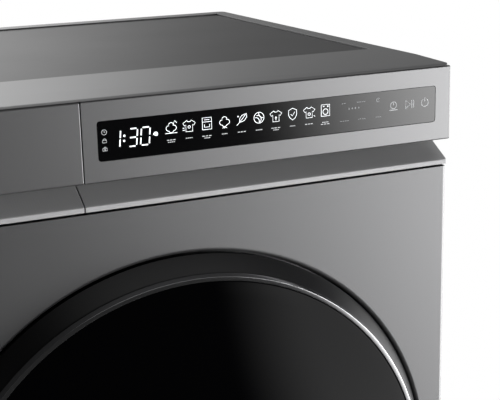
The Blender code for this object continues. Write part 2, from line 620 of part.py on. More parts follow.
def make_air_collar():
    """Collar between door and drum, with the lint filter's pocket under it."""
    centre = (0, DOOR_Z)
    front = Y_PANEL + DISH_DEPTH + SHEET + FIT
    back = Y_DRUM - 0.0060
    outer = COLLAR_R + COLLAR_WALL
    collar = pipe("air_collar", centre, outer, COLLAR_R, front, back, GREY_PLASTIC, steps=ROUND)
    y = (Y_PANEL + 0.0395, Y_PANEL + 0.0395 + FILTER_THICK + 2 * PLAY)
    top = DOOR_Z - sqrt(COLLAR_R ** 2 - FILTER_HALF ** 2)
    low = DOOR_Z - COLLAR_R - FILTER_HEIGHT
    wall = 0.002
    x = FILTER_HALF + PLAY
    pocket = block("pocket", (-x - wall, x + wall), (y[0] - wall, y[1] + wall), (low, top - 0.002))
    cut(pocket, rod("inside", centre, COLLAR_R + 0.001, -1, 1, steps=ROUND))
    join(collar, pocket)
    cut(collar, block("slot", (-x, x), y, (low + wall, DOOR_Z - 0.1)))
    filter_y = (y[0] + PLAY, y[1] - PLAY)
    screen = block("lint_filter", (-FILTER_HALF, FILTER_HALF), filter_y,
                   (low + wall + FIT, DOOR_Z - COLLAR_R + 0.001), PALE_PLASTIC)
    hollow = ((-FILTER_HALF + 0.003, FILTER_HALF - 0.003), (filter_y[0] + 0.002, filter_y[1] - 0.002),
              (low + wall + 0.004, DOOR_Z))
    cut(screen, block("hollow", *hollow))
    hang(pivot("filter_slide", (0, sum(filter_y) / 2, low)), screen)
    r = PORT_R - FIT
    seal = [(r, Y_PANEL + DISH_DEPTH + SHEET), (r, Y_PANEL + DISH_DEPTH - 0.0001),
            (r - 0.004, Y_PANEL + DISH_DEPTH - 0.0015 + 0.0015), (COLLAR_R + 0.001, Y_PANEL + DISH_DEPTH + 0.0004),
            (COLLAR_R + 0.001, Y_PANEL + DISH_DEPTH + SHEET)]
    turned("door_gasket", seal, centre, RUBBER, steps=ROUND)


# ---- drum and drive
def make_bulkhead():
    """Front bearing shield with the drum's felt seat and the roller axles."""
    y = Y_DRUM - 0.0057
    plate = prism("front_bulkhead", rounded((0.006 - INSIDE, INSIDE - 0.006), (0.135, Z_PANEL_TOP - 0.0008), 0.02), "Y", y, y + 0.0015, GALVANISED)
    seat = pipe("seat", (0, DRUM_Z), NECK_R - 0.0040, NECK_R - 0.0060, y + 0.0007, y + 0.020, steps=ROUND)
    join(plate, seat)
    cut(plate, rod("hole", (0, DOOR_Z), COLLAR_R - 0.001, y - 0.01, y + 0.01, steps=ROUND))
    pipe("front_felt_seal", (0, DRUM_Z), NECK_R - FIT, NECK_R - 0.0037, y + 0.0018, y + 0.018, FELT, steps=ROUND)
    for name, side in (("left", -1), ("right", 1)):
        a = radians(-90 + side * ROLLER_ANGLE)
        reach = DRUM_R + ROLLER_R + 0.0006
        x, z = reach * cos(a), DRUM_Z + reach * sin(a)
        join(plate, rod("axle", (x, z), 0.0050, y + 0.0007, y + 0.040))
        wheel = pipe(f"roller_{name}", (x, z), ROLLER_R, 0.0050 + FIT, y + 0.016, y + 0.036, RUBBER)
        hang(pivot(f"roller_axis_{name}", (x, y + 0.026, z)), wheel)


def make_drum():
    """Drum shell, perforated back, shaft and three lifters."""
    centre = (0, DRUM_Z)
    front, back, t = Y_DRUM, Y_DRUM_BACK, DRUM_SHEET
    shell_out = [(NECK_R + t, front), (NECK_R + t, front + 0.012), (DRUM_R - 0.008, front + 0.015),
                 (DRUM_R, front + 0.024), (DRUM_R, back)]
    shell_in = [(DRUM_R - t, back), (DRUM_R - t, front + 0.025), (DRUM_R - 0.009, front + 0.0163),
                (NECK_R, front + 0.0135), (NECK_R, front)]
    shell = turned("drum_shell", shell_out + shell_in, centre, STAINLESS, steps=ROUND)
    rear = back - 0.0015
    disc_r = (DRUM_R - t) * cos(pi / ROUND) - FIT
    disc = rod("drum_back", centre, disc_r, rear - 0.0015, rear, STAINLESS, steps=ROUND)
    for i in range(12):
        a = 2 * pi * i / 12
        cut(disc, rod("hole", (0.150 * cos(a), DRUM_Z + 0.150 * sin(a)), 0.012, rear - 0.01, rear + 0.01, steps=12))
    shaft = [(0, rear + FIT), (0.030, rear + FIT), (0.030, rear + 0.003), (SHAFT_R, rear + 0.006),
             (SHAFT_R, Y_CASE - 2 * SHEET), (0, Y_CASE - 2 * SHEET)]
    shaft = turned("drum_shaft", shaft, centre, STAINLESS)
    pieces = [shell, disc, shaft]
    for i in range(3):
        a = radians(90 + 120 * i)
        foot = (DRUM_R - t) * cos(pi / ROUND) - 0.0015
        outline = [(foot, -0.035), (foot - 0.016, -0.022), (foot - LIFTER_HEIGHT, -0.008),
                   (foot - LIFTER_HEIGHT, 0.008), (foot - 0.016, 0.022), (foot, 0.035)]
        spun = [(r * cos(a) - s * sin(a), DRUM_Z + r * sin(a) + s * cos(a)) for r, s in outline]
        long = sqrt(foot ** 2 - 0.035 ** 2) / foot
        spun = [(x * long, DRUM_Z + (z - DRUM_Z) * long) for x, z in spun]
        pieces.append(prism(f"lifter_{i + 1}", spun, "Y", front + 0.035, rear - 0.010, GREY_PLASTIC))
    hang(pivot("drum_axis", (0, (front + back) / 2, DRUM_Z)), *pieces)


def make_drive():
    """Motor with pulley and fan, belt, and the sprung idler arm."""
    x, z = MOTOR_X, MOTOR_Z
    y = (BELT_Y + BELT_WIDTH / 2 + 0.020, BELT_Y + BELT_WIDTH / 2 + 0.110)
    motor = pipe("motor_housing", (x, z), MOTOR_R, 0.0060, *y, GALVANISED)
    mount = block("mount", (x - 0.045, x + 0.045), (y[0] + 0.01, y[1] - 0.01), (FOOT_HEIGHT + 0.0033, z - 0.035))
    join(motor, mount)
    post_x, post_z = ARM_PIVOT
    tab = block("tab", (post_x - 0.008, x), (y[0] + 0.001, y[0] + 0.006), (z, post_z + 0.008))
    cut(tab, rod("clear", (x, z), MOTOR_R - 0.004, -1, 1))
    join(motor, tab)
    low, high = BELT_Y - BELT_WIDTH / 2 - 0.002, BELT_Y + BELT_WIDTH / 2
    join(motor, rod("post", (post_x, post_z), 0.004, high + 0.001, y[0] + 0.003))
    belt_r = PULLEY_R
    pulley = turned("motor_pulley", [(0, low), (belt_r, low), (belt_r, high + 0.002), (0.0055, high + 0.004),
                                     (0.0055, y[1] + 0.0430), (0, y[1] + 0.0430)], (x, z), STAINLESS)
    fan_y = (y[1] + 0.012, y[1] + 0.042)
    fan = pipe("fan_wheel", (x, z), 0.052, 0.0058, *fan_y, GREY_PLASTIC)
    cut(fan, pipe("ring", (x, z), 0.046, 0.012, fan_y[0] - 0.01, fan_y[1] - 0.004))
    hang(pivot("motor_axis", (x, y[0], z)), pulley, fan)

    ix, iz = IDLER
    circles = [(0, DRUM_Z, DRUM_R), (x, z, belt_r), (ix, iz, IDLER_R)]
    half = BELT_WIDTH / 2
    belt = prism("drum_belt", hull(circles, 2 * FIT + BELT_THICK), "Y", BELT_Y - half, BELT_Y + half, RUBBER)
    cut(belt, prism("inside", hull(circles, 2 * FIT), "Y", BELT_Y - 0.1, BELT_Y + 0.1))
    idler = pipe("idler_pulley", (ix, iz), IDLER_R, 0.004 + FIT, BELT_Y - half - 0.001, BELT_Y + half + 0.001,
                 GREY_PLASTIC)
    arm_y = (high + 0.0023, high + 0.0023 + ARM_THICK)
    arm = prism("tensioner_arm", hull([(post_x, post_z, 0.009), (ix, iz, 0.009)], 0, 24), "Y", *arm_y, GALVANISED)
    cut(arm, rod("bore", (post_x, post_z), 0.004 + FIT, -1, 1))
    join(arm, rod("stub", (ix, iz), 0.004, BELT_Y - half - 0.003, arm_y[1] - 0.001))
    hang(pivot("idler_axis", (ix, BELT_Y, iz)), idler)
    hang(pivot("tensioner_axis", (post_x, arm_y[0], post_z)), arm)
    make_tensioner_spring((post_x - ix) / 2 + ix, arm_y[1] + 0.0015, (iz + post_z) / 2 - 0.0095)


def make_tensioner_spring(x, y, top):
    """Coil spring standing on the base and pushing up on the arm."""
    low = FOOT_HEIGHT + 0.003 + FIT
    wire, radius, turns, per_turn = 0.0007, 0.0045, 9, 12
    curve = bpy.data.curves.new("tensioner_spring", "CURVE")
    curve.dimensions = "3D"
    curve.bevel_depth = wire
    curve.bevel_resolution = 0
    curve.use_fill_caps = True
    spline = curve.splines.new("POLY")
    count = turns * per_turn
    spline.points.add(count)
    for i, point in enumerate(spline.points):
        a = 2 * pi * i / per_turn
        height = low + wire + (top - FIT - 2 * wire - low) * i / count
        point.co = (x + radius * cos(a), y + radius * sin(a), height, 1)
    curve.materials.append(finish("tensioner_spring", *STAINLESS))
    spring = bpy.data.objects.new("tensioner_spring", curve)
    bpy.context.scene.collection.objects.link(spring)


# ---- heat pump and electrics
def make_exchanger(name, y, look):
    """Finned block in a channel: a closed body with rounded edges."""
    return block(name, (-0.272, -0.040), y, (0.0300, 0.1320), look, 0.002)


def make_lower_unit():
    """Everything that stands in the base under the drum."""
    floor = FOOT_HEIGHT + 0.003 + FIT
    make_exchanger("evaporator", (-0.190, -0.070), STAINLESS)
    make_exchanger("condenser", (-0.060, 0.030), STAINLESS)
    cover = block("heat_pump_cover", (-0.2780, -0.0340), (-0.1960, 0.0360), (floor, 0.1380), PALE_PLASTIC)
    inside = ((-0.2750, -0.0370), (-0.1960 - 0.01, 0.0330), (floor - 0.01, 0.1350))
    cut(cover, block("inside", *inside))
    profile = [(0, floor), (0.045, floor), (0.058, floor + 0.010), (0.060, floor + 0.100), (0.048, floor + 0.126),
               (0.020, floor + 0.136), (0, floor + 0.138)]
    turned("compressor", profile, (0.175, -0.135), BLACK, axis="Z")
    fan_y = (BELT_Y + BELT_WIDTH / 2 + 0.110 + 0.006, BELT_Y + BELT_WIDTH / 2 + 0.110 + 0.050)
    x, z = MOTOR_X, MOTOR_Z
    outline = arc((x, z), 0.060, 180, 360, 16) + [(x + 0.060, 0.165), (x - 0.060, 0.165)]
    housing = prism("fan_housing", outline, "Y", *fan_y, PALE_PLASTIC)
    inner = arc((x, z), 0.057, 180, 360, 16) + [(x + 0.057, 0.18), (x - 0.057, 0.18)]
    cut(housing, prism("inside", inner, "Y", fan_y[0] + 0.003, fan_y[1] - 0.002))
    cut(housing, rod("inlet", (x, z), 0.030, fan_y[0] - 0.01, fan_y[0] + 0.01))
    block("condensate_pump", (-0.060, 0.010), (0.150, 0.210), (floor, 0.090), GREY_PLASTIC, 0.004)
    y = (Y_FASCIA + GRIP_DEPTH + WALL + 0.001, Y_FASCIA + GRIP_DEPTH + WALL + 0.026)
    low, high = Z_LIP - 0.0005, Z_FASCIA - 0.0019
    bar = block("front_crossbar", (-INSIDE, INSIDE), y, (low, high), GALVANISED)
    cut(bar, block("channel", (-1, 1), (y[0] + SHEET, y[1] + 0.01), (low + SHEET, high - SHEET)))
    inlet_x, inlet_z = 0.0555 - HALF, HEIGHT - 0.075
    inlet = block("mains_inlet", (inlet_x - 0.020, inlet_x + 0.020), (Y_CASE + FIT, Y_CASE + 0.0083),
                  (inlet_z - 0.015, inlet_z + 0.015), BLACK, 0.001)
    cut(inlet, rod("cord_hole", (inlet_x, inlet_z), 0.0045, Y_CASE - 0.01, Y_CASE + 0.02))


make_side("left_side_panel", -1)
make_side("right_side_panel", 1)
make_front_panel()
make_kick_panel()
make_service_flap()
make_top_frame()
make_rear()
make_base()
make_fascia()
make_tank()
make_door()
make_hinge_and_catch()
make_air_collar()
make_bulkhead()
make_drum()
make_drive()
make_lower_unit()
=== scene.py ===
"""Looks of the clothes dryer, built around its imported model."""
import json
from math import cos, pi, radians, sin, sqrt

import bpy
from mathutils import Matrix, Vector


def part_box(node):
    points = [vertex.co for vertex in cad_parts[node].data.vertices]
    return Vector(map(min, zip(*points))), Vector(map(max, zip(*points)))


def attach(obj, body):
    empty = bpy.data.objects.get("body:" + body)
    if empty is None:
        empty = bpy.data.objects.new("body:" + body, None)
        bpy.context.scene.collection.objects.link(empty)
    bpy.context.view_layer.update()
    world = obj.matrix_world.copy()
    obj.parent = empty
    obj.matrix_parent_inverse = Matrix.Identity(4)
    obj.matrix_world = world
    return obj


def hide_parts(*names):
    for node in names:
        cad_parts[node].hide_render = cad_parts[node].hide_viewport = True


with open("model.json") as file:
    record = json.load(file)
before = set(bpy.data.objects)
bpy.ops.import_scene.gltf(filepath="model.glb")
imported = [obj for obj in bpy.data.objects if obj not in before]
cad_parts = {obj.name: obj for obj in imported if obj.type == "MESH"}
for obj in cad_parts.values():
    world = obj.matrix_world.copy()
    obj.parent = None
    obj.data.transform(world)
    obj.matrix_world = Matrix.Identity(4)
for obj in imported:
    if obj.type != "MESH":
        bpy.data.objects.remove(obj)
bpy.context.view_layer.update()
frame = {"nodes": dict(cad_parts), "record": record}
NODES = frame["nodes"]
bpy.ops.object.select_all(action="DESELECT")

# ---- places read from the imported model
fascia_low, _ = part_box("control_fascia")
window_low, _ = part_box("display_window")
panel_low, panel_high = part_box("front_panel")
ring_low, ring_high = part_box("door_ring")
trim_low, trim_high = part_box("door_trim_ring")
glass_low, glass_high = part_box("door_glass")
_, frame_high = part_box("door_inner_frame")
shell_low, shell_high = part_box("drum_shell")
cover_low, cover_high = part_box("rear_duct_cover")
_, back_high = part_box("rear_panel")

FASCIA_Y = fascia_low.y
PANEL_Y = panel_low.y
HALF = panel_high.x
DOOR_Z = (glass_low.z + glass_high.z) / 2
DRUM_Z = (shell_low.z + shell_high.z) / 2
GAP = 0.0003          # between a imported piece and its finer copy
SHEET = 0.0012        # thickness of the sheet metal
FINE = 192            # sides of the large round pieces
DISH_R = 0.2717       # recess that the door closes into
DISH_EDGE = 0.0045    # rounding around it
DISH_DEPTH = 0.012
DISH_CORNER = 0.002   # rounding at the recess's floor
PORT_R = 0.2105       # loading port
PANEL_CORNER = 0.004  # rounding of the front sheet's upright edges
HOOK_SLOT_X = (-0.258, -0.238)
HOOK_SLOT_HALF = 0.010
GRIP_X = -0.2590      # inner end of the finger recess in the door ring
GRIP_HALF = 0.060
GRIP_DEEP = 0.0125
RING_TAPER = 0.0146   # cone ring's front edge inside its rear edge
TRIM_INSIDE = 0.0022  # where the cone ends under the trim
TRIM_DEEP = 0.010
GLASS_THICK = 0.004
FRAME_SCREWS_R = 0.2420


# ---- handling
def activate(piece):
    bpy.ops.object.select_all(action="DESELECT")
    piece.select_set(True)
    bpy.context.view_layer.objects.active = piece


def edit(piece, select="SELECT"):
    activate(piece)
    bpy.ops.object.mode_set(mode="EDIT")
    bpy.ops.mesh.select_all(action=select)


def leave():
    bpy.ops.object.mode_set(mode="OBJECT")


def modify(piece, kind, **values):
    """Add a modifier and apply it."""
    activate(piece)
    step = piece.modifiers.new(kind, kind)
    for name, value in values.items():
        setattr(step, name, value)
    bpy.ops.object.modifier_apply(modifier=step.name)


def settle(piece):
    """Put the piece's place into its mesh."""
    activate(piece)
    bpy.ops.object.transform_apply(location=True, rotation=True, scale=True)


def shade(piece, angle=32):
    """Smooth the rounded faces and keep the flat ones flat."""
    activate(piece)
    bpy.ops.object.shade_smooth_by_angle(angle=radians(angle))
    modify(piece, "WEIGHTED_NORMAL", keep_sharp=True)


def round_edges(piece, width, segments=3, angle=38):
    modify(piece, "BEVEL", width=width, segments=segments, limit_method="ANGLE",
           angle_limit=radians(angle))


def unite(name, pieces):
    """Join several pieces into one object."""
    bpy.ops.object.select_all(action="DESELECT")
    for piece in pieces:
        piece.select_set(True)
    bpy.context.view_layer.objects.active = pieces[0]
    if len(pieces) > 1:
        bpy.ops.object.join()
    pieces[0].name = name
    return pieces[0]


def cut(piece, tool, operation="DIFFERENCE"):
    modify(piece, "BOOLEAN", operation=operation, solver="EXACT", object=tool)
    bpy.data.objects.remove(tool)


def refined(node, edge, segments=2, name=None):
    """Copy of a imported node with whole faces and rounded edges."""
    piece = bpy.data.objects.new(name or node + "_skin", NODES[node].data.copy())
    bpy.context.scene.collection.objects.link(piece)
    piece.data.materials.clear()
    edit(piece)
    bpy.ops.mesh.customdata_custom_splitnormals_clear()
    bpy.ops.mesh.remove_doubles(threshold=0.00001)
    bpy.ops.mesh.dissolve_limited(angle_limit=radians(1.0))
    leave()
    if edge:
        round_edges(piece, edge, segments)
    shade(piece)
    return piece


def block(name, low, high, edge=0.0, segments=3):
    """A box between two corners with rounded edges."""
    low, high = Vector(low), Vector(high)
    bpy.ops.mesh.primitive_cube_add(size=1, location=(low + high) / 2)
    piece = bpy.context.active_object
    piece.name = name
    piece.scale = high - low
    settle(piece)
    if edge:
        edit(piece)
        bpy.ops.mesh.bevel(offset=edge, segments=segments, affect="EDGES")
        leave()
    return piece


def arc(centre, radius, start, stop, count):
    """Points along an arc, between two angles in degrees."""
    angles = [radians(start + (stop - start) * i / count) for i in range(count + 1)]
    return [(centre[0] + radius * cos(a), centre[1] + radius * sin(a)) for a in angles]


def outline_mesh(name, points, closed=True):
    """Loose outline through 3D points."""
    count = len(points)
    edges = [(i, (i + 1) % count) for i in range(count if closed else count - 1)]
    mesh = bpy.data.meshes.new(name)
    mesh.from_pydata(points, edges, [])
    piece = bpy.data.objects.new(name, mesh)
    bpy.context.scene.collection.objects.link(piece)
    return piece


def prism(name, outline, axis, low, high):
    """Extrude an outline of (y, z), (x, z) or (x, y) points along an axis."""
    spot = {"X": lambda u, v: (low, u, v), "Y": lambda u, v: (u, low, v), "Z": lambda u, v: (u, v, low)}[axis]
    piece = outline_mesh(name, [spot(u, v) for u, v in outline])
    edit(piece)
    bpy.ops.mesh.edge_face_add()
    travel = tuple(high - low if letter == axis else 0.0 for letter in "XYZ")
    bpy.ops.mesh.extrude_region_move(TRANSFORM_OT_translate={"value": travel})
    bpy.ops.mesh.select_all(action="SELECT")
    bpy.ops.mesh.normals_make_consistent(inside=False)
    leave()
    return piece


def rounded(x, z, radius, count=5):
    """Outline of a rectangle with rounded corners."""
    corners = [(x[1], z[1], 0), (x[0], z[1], 90), (x[0], z[0], 180), (x[1], z[0], 270)]
    outline = []
    for u, v, start in corners:
        inner = (u - radius if u == x[1] else u + radius, v - radius if v == z[1] else v + radius)
        outline += arc(inner, radius, start, start + 90, count)
    return outline


def spun(name, profile, centre, edge=0.0, steps=FINE, axis="Y", closed=True, segments=3):
    """Turn a profile of (radius, distance) points about an axis, with its corners rounded."""
    if axis == "Y":
        middle, along = Vector((centre[0], 0, centre[1])), Vector((0, 1, 0))
    else:
        middle, along = Vector((centre[0], centre[1], 0)), Vector((0, 0, 1))
    piece = outline_mesh(name, [middle + Vector((r, 0, 0)) + along * d for r, d in profile], closed)
    if edge:
        edit(piece, "DESELECT")
        leave()
        for vert in piece.data.vertices:
            vert.select = (vert.co - middle).dot(Vector((1, 0, 0))) > 0.001
        activate(piece)
        bpy.ops.object.mode_set(mode="EDIT")
        bpy.ops.mesh.bevel(offset=edge, segments=segments, affect="VERTICES")
        leave()
    edit(piece)
    bpy.ops.mesh.spin(steps=steps, angle=2 * pi, center=middle, axis=along)
    bpy.ops.mesh.select_all(action="SELECT")
    bpy.ops.mesh.remove_doubles(threshold=0.000005)
    bpy.ops.mesh.select_all(action="SELECT")
    bpy.ops.mesh.normals_make_consistent(inside=False)
    leave()
    return piece


def place(piece, look, body, *nodes, slot=None):
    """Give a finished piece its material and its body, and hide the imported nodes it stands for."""
    piece.data.materials.clear()
    piece.data.materials.append(look)
    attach(piece, body)
    if nodes:
        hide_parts(*nodes)
    return piece


# ---- shader groups
def new_group(name, inputs, outputs):
    group = bpy.data.node_groups.new(name, "ShaderNodeTree")
    for label, kind, value in inputs:
        socket = group.interface.new_socket(label, in_out="INPUT", socket_type=kind)
        if value is not None:
            socket.default_value = value
    for label, kind in outputs:
        group.interface.new_socket(label, in_out="OUTPUT", socket_type=kind)
    return group, group.nodes.new("NodeGroupInput"), group.nodes.new("NodeGroupOutput")


def wire(tree, source, output, target, entry):
    tree.links.new(source.outputs[output], target.inputs[entry])


def make_surface_group():
    """Colour drift, roughness drift and fine grain over a painted or moulded surface."""
    group, start, end = new_group(
        "surface_drift",
        [("Colour", "NodeSocketColor", (0.5, 0.5, 0.5, 1)), ("Roughness", "NodeSocketFloat", 0.5),
         ("Drift", "NodeSocketFloat", 0.08), ("Patch size", "NodeSocketFloat", 6.0),
         ("Grain size", "NodeSocketFloat", 900.0)],
        [("Colour", "NodeSocketColor"), ("Roughness", "NodeSocketFloat"), ("Grain", "NodeSocketFloat")])
    where = group.nodes.new("ShaderNodeTexCoord")
    patches = group.nodes.new("ShaderNodeTexNoise")
    patches.inputs["Detail"].default_value = 3.0
    grain = group.nodes.new("ShaderNodeTexNoise")
    grain.inputs["Detail"].default_value = 2.0
    for noise, label in ((patches, "Patch size"), (grain, "Grain size")):
        wire(group, where, "Object", noise, "Vector")
        wire(group, start, label, noise, "Scale")
    centred = group.nodes.new("ShaderNodeMath")
    centred.operation = "SUBTRACT"
    centred.inputs[1].default_value = 0.5
    wire(group, patches, "Fac", centred, 0)
    scaled = group.nodes.new("ShaderNodeMath")
    scaled.operation = "MULTIPLY"
    wire(group, centred, 0, scaled, 0)
    wire(group, start, "Drift", scaled, 1)
    bright = group.nodes.new("ShaderNodeMath")
    bright.operation = "ADD"
    bright.inputs[1].default_value = 1.0
    wire(group, scaled, 0, bright, 0)
    tint = group.nodes.new("ShaderNodeVectorMath")
    tint.operation = "SCALE"
    wire(group, start, "Colour", tint, 0)
    wire(group, bright, 0, tint, "Scale")
    wire(group, tint, 0, end, "Colour")
    rough = group.nodes.new("ShaderNodeMath")
    rough.operation = "ADD"
    rough.use_clamp = True
    wire(group, start, "Roughness", rough, 0)
    wire(group, scaled, 0, rough, 1)
    wire(group, rough, 0, end, "Roughness")
    wire(group, grain, "Fac", end, "Grain")
    return group


def make_brush_group():
    """Fine brushed lines along one direction, given by how far each axis is stretched."""
    group, start, end = new_group(
        "brushed_lines", [("Stretch", "NodeSocketVector", (1.0, 1.0, 1.0))], [("Lines", "NodeSocketFloat")])
    where = group.nodes.new("ShaderNodeTexCoord")
    stretch = group.nodes.new("ShaderNodeVectorMath")
    stretch.operation = "MULTIPLY"
    wire(group, where, "Object", stretch, 0)
    wire(group, start, "Stretch", stretch, 1)
    lines = group.nodes.new("ShaderNodeTexNoise")
    lines.inputs["Scale"].default_value = 1.0
    lines.inputs["Detail"].default_value = 4.0
    wire(group, stretch, 0, lines, "Vector")
    wire(group, lines, "Fac", end, "Lines")
    return group


def make_rib_group():
    """Rows of low ribs across one axis, broken up along another, as on moulded grips and felt."""
    group, start, end = new_group(
        "fine_ribs", [("Pitch", "NodeSocketVector", (400.0, 0.0, 400.0))], [("Ribs", "NodeSocketFloat")])
    where = group.nodes.new("ShaderNodeTexCoord")
    scaled = group.nodes.new("ShaderNodeVectorMath")
    scaled.operation = "MULTIPLY"
    wire(group, where, "Object", scaled, 0)
    wire(group, start, "Pitch", scaled, 1)
    split = group.nodes.new("ShaderNodeSeparateXYZ")
    wire(group, scaled, 0, split, 0)
    waves = []
    for axis in "XYZ":
        wave = group.nodes.new("ShaderNodeMath")
        wave.operation = "SINE"
        wire(group, split, axis, wave, 0)
        waves.append(wave)
    total = group.nodes.new("ShaderNodeMath")
    total.operation = "MULTIPLY_ADD"
    wire(group, waves[0], 0, total, 0)
    total.inputs[1].default_value = 0.35
    wire(group, waves[2], 0, total, 2)
    last = group.nodes.new("ShaderNodeMath")
    last.operation = "ADD"
    wire(group, total, 0, last, 0)
    wire(group, waves[1], 0, last, 1)
    wire(group, last, 0, end, "Ribs")
    return group


SURFACE = make_surface_group()
BRUSHED = make_brush_group()
RIBBED = make_rib_group()


def finish_of(name, colour, roughness, metallic=0.0, drift=0.08, patch=6.0, grain=900.0, bump=0.05,
              depth=0.0001, brushed=None, ribbed=None, **shader_values):
    """A material: a Principled shader fed by the shared groups."""
    look = bpy.data.materials.new(name)
    look.use_nodes = True
    tree = look.node_tree
    shader = tree.nodes["Principled BSDF"]
    surface = tree.nodes.new("ShaderNodeGroup")
    surface.node_tree = SURFACE
    surface.inputs["Colour"].default_value = (*colour, 1.0)
    surface.inputs["Roughness"].default_value = roughness
    surface.inputs["Drift"].default_value = drift
    surface.inputs["Patch size"].default_value = patch
    surface.inputs["Grain size"].default_value = grain
    wire(tree, surface, "Colour", shader, "Base Color")
    wire(tree, surface, "Roughness", shader, "Roughness")
    relief = tree.nodes.new("ShaderNodeBump")
    relief.inputs["Strength"].default_value = bump
    relief.inputs["Distance"].default_value = depth
    source, output = surface, "Grain"
    if brushed or ribbed:
        source = tree.nodes.new("ShaderNodeGroup")
        source.node_tree = BRUSHED if brushed else RIBBED
        source.inputs[0].default_value = brushed or ribbed
        output = "Lines" if brushed else "Ribs"
    wire(tree, source, output, relief, "Height")
    wire(tree, relief, "Normal", shader, "Normal")
    shader.inputs["Metallic"].default_value = metallic
    for label, value in shader_values.items():
        shader.inputs[label.replace("_", " ")].default_value = value
    return look


GRAPHITE = finish_of("graphite_paint", (0.108, 0.108, 0.110), 0.38, 0.75, drift=0.05, grain=2600, bump=0.06)
FASCIA = finish_of("brushed_graphite", (0.140, 0.140, 0.142), 0.36, 0.8, drift=0.04, bump=0.10,
                   brushed=(60.0, 300.0, 6000.0))
TOP_TRIM = finish_of("top_frame_satin", (0.150, 0.150, 0.152), 0.36, 0.75, drift=0.04, grain=2200, bump=0.05)
TOP_SHEET = finish_of("inset_top_satin", (0.018, 0.018, 0.019), 0.32, 0.0, drift=0.05, grain=1600, bump=0.04,
                     Specular_IOR_Level=0.10)
# Painted light: the grip strip's base colour is raised to a light grey, well above its own dark grey, to stand in
# for the front light that the fascia's overhang keeps off it.
STRIP = finish_of("grip_strip_ribbed_painted_light", (0.40, 0.40, 0.405), 0.50, 0.2, drift=0.05, bump=0.35,
                  depth=0.00012, ribbed=(2600.0, 0.0, 9000.0))
WINDOW = finish_of("window_gloss", (0.0012, 0.0012, 0.0015), 0.09, 0.0, drift=0.02, bump=0.0,
                   Specular_IOR_Level=0.5)


def print_of(name, colour, glow):
    """Printed marks, lit from behind."""
    return finish_of(name, colour, 0.5, drift=0.02, bump=0.0, Emission_Color=(0.93, 0.96, 1.0, 1.0),
                     Emission_Strength=glow)


PRINT = print_of("lit_print", (0.85, 0.87, 0.88), 0.85)
PRINT_DIM = print_of("dim_print", (0.30, 0.31, 0.32), 0.10)
PRINT_TOUCH = print_of("touch_print", (0.42, 0.43, 0.44), 0.16)
PRINT_MID = print_of("half_lit_print", (0.55, 0.56, 0.57), 0.28)
DOOR_BLACK = finish_of("door_ring_black", (0.006, 0.006, 0.0065), 0.34, drift=0.05, grain=1800, bump=0.03,
                       Specular_IOR_Level=0.30)
DOOR_GLASS = finish_of("door_glass_black", (0.001, 0.001, 0.0012), 0.05, drift=0.01, bump=0.0,
                       Specular_IOR_Level=0.03)
CHROME = finish_of("bright_trim", (0.50, 0.50, 0.51), 0.09, 1.0, drift=0.02, bump=0.02)
ZINC = finish_of("zinc_sheet", (0.50, 0.51, 0.52), 0.42, 1.0, drift=0.35, patch=60.0, grain=700, bump=0.08)
STEEL = finish_of("stainless_sheet", (0.60, 0.60, 0.60), 0.28, 1.0, drift=0.08, bump=0.12,
                  brushed=(900.0, 30.0, 900.0))
ALUMINIUM = finish_of("finned_aluminium", (0.68, 0.68, 0.69), 0.35, 1.0, drift=0.1, bump=0.9, depth=0.001,
                      ribbed=(2200.0, 0.0, 0.0))
CAST = finish_of("black_enamel", (0.02, 0.02, 0.022), 0.35, 0.0, drift=0.1, grain=400, bump=0.2)
GREY = finish_of("grey_moulding", (0.26, 0.265, 0.27), 0.55, drift=0.06, grain=1200, bump=0.15)
PALE = finish_of("pale_moulding", (0.58, 0.59, 0.59), 0.52, drift=0.06, grain=1200, bump=0.15)
BLACK = finish_of("black_moulding", (0.020, 0.020, 0.021), 0.5, drift=0.1, grain=1500, bump=0.2)
CLEAR = finish_of("clear_moulding", (0.72, 0.76, 0.78), 0.12, drift=0.03, bump=0.02, Alpha=0.38,
                  Specular_IOR_Level=0.6)
RUBBER = finish_of("black_rubber", (0.022, 0.022, 0.022), 0.75, drift=0.15, grain=900, bump=0.3)
FELT = finish_of("pressed_felt", (0.28, 0.27, 0.25), 0.95, drift=0.25, patch=90, grain=2500, bump=0.8,
                 Sheen_Weight=0.3)
BOARD = finish_of("circuit_board", (0.02, 0.12, 0.05), 0.45, drift=0.3, patch=160, grain=600, bump=0.2)

SLOT_LOOKS = {
    "body_steel": GRAPHITE, "fascia": FASCIA, "grip_strip": STRIP, "top_frame": TOP_TRIM, "top_panel": TOP_SHEET,
    "window": WINDOW, "door_black": DOOR_BLACK, "door_glass": DOOR_GLASS, "chrome_trim": CHROME,
    "galvanised": ZINC, "stainless": STEEL, "aluminium": ALUMINIUM, "cast": CAST, "grey_plastic": GREY,
    "pale_plastic": PALE, "black_plastic": BLACK, "clear_plastic": CLEAR, "rubber": RUBBER, "felt": FELT,
    "board": BOARD,
}


def dress_packed_nodes():
    """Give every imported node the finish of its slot."""
    for entry in frame["record"]["subparts"]:
        piece = NODES[entry["node"]]
        piece.data.materials.clear()
        piece.data.materials.append(SLOT_LOOKS[entry["material_slot"]])


def clothe(body, slot, edge, segments, *nodes):
    """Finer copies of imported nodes, each with the finish of its slot."""
    for node in nodes:
        place(refined(node, edge, segments), SLOT_LOOKS[slot], body, node, slot=slot)


# ---- casing
def drill_round(piece, radius, x, z):
    """Cut a fine round hole through a sheet that faces the front."""
    bpy.ops.mesh.primitive_cylinder_add(vertices=FINE, radius=radius, depth=0.5,
                                        location=(x, piece_front(piece), z), rotation=(pi / 2, 0, 0))
    tool = bpy.context.active_object
    settle(tool)
    cut(piece, tool)


def piece_front(piece):
    return min(corner[1] for corner in piece.bound_box)


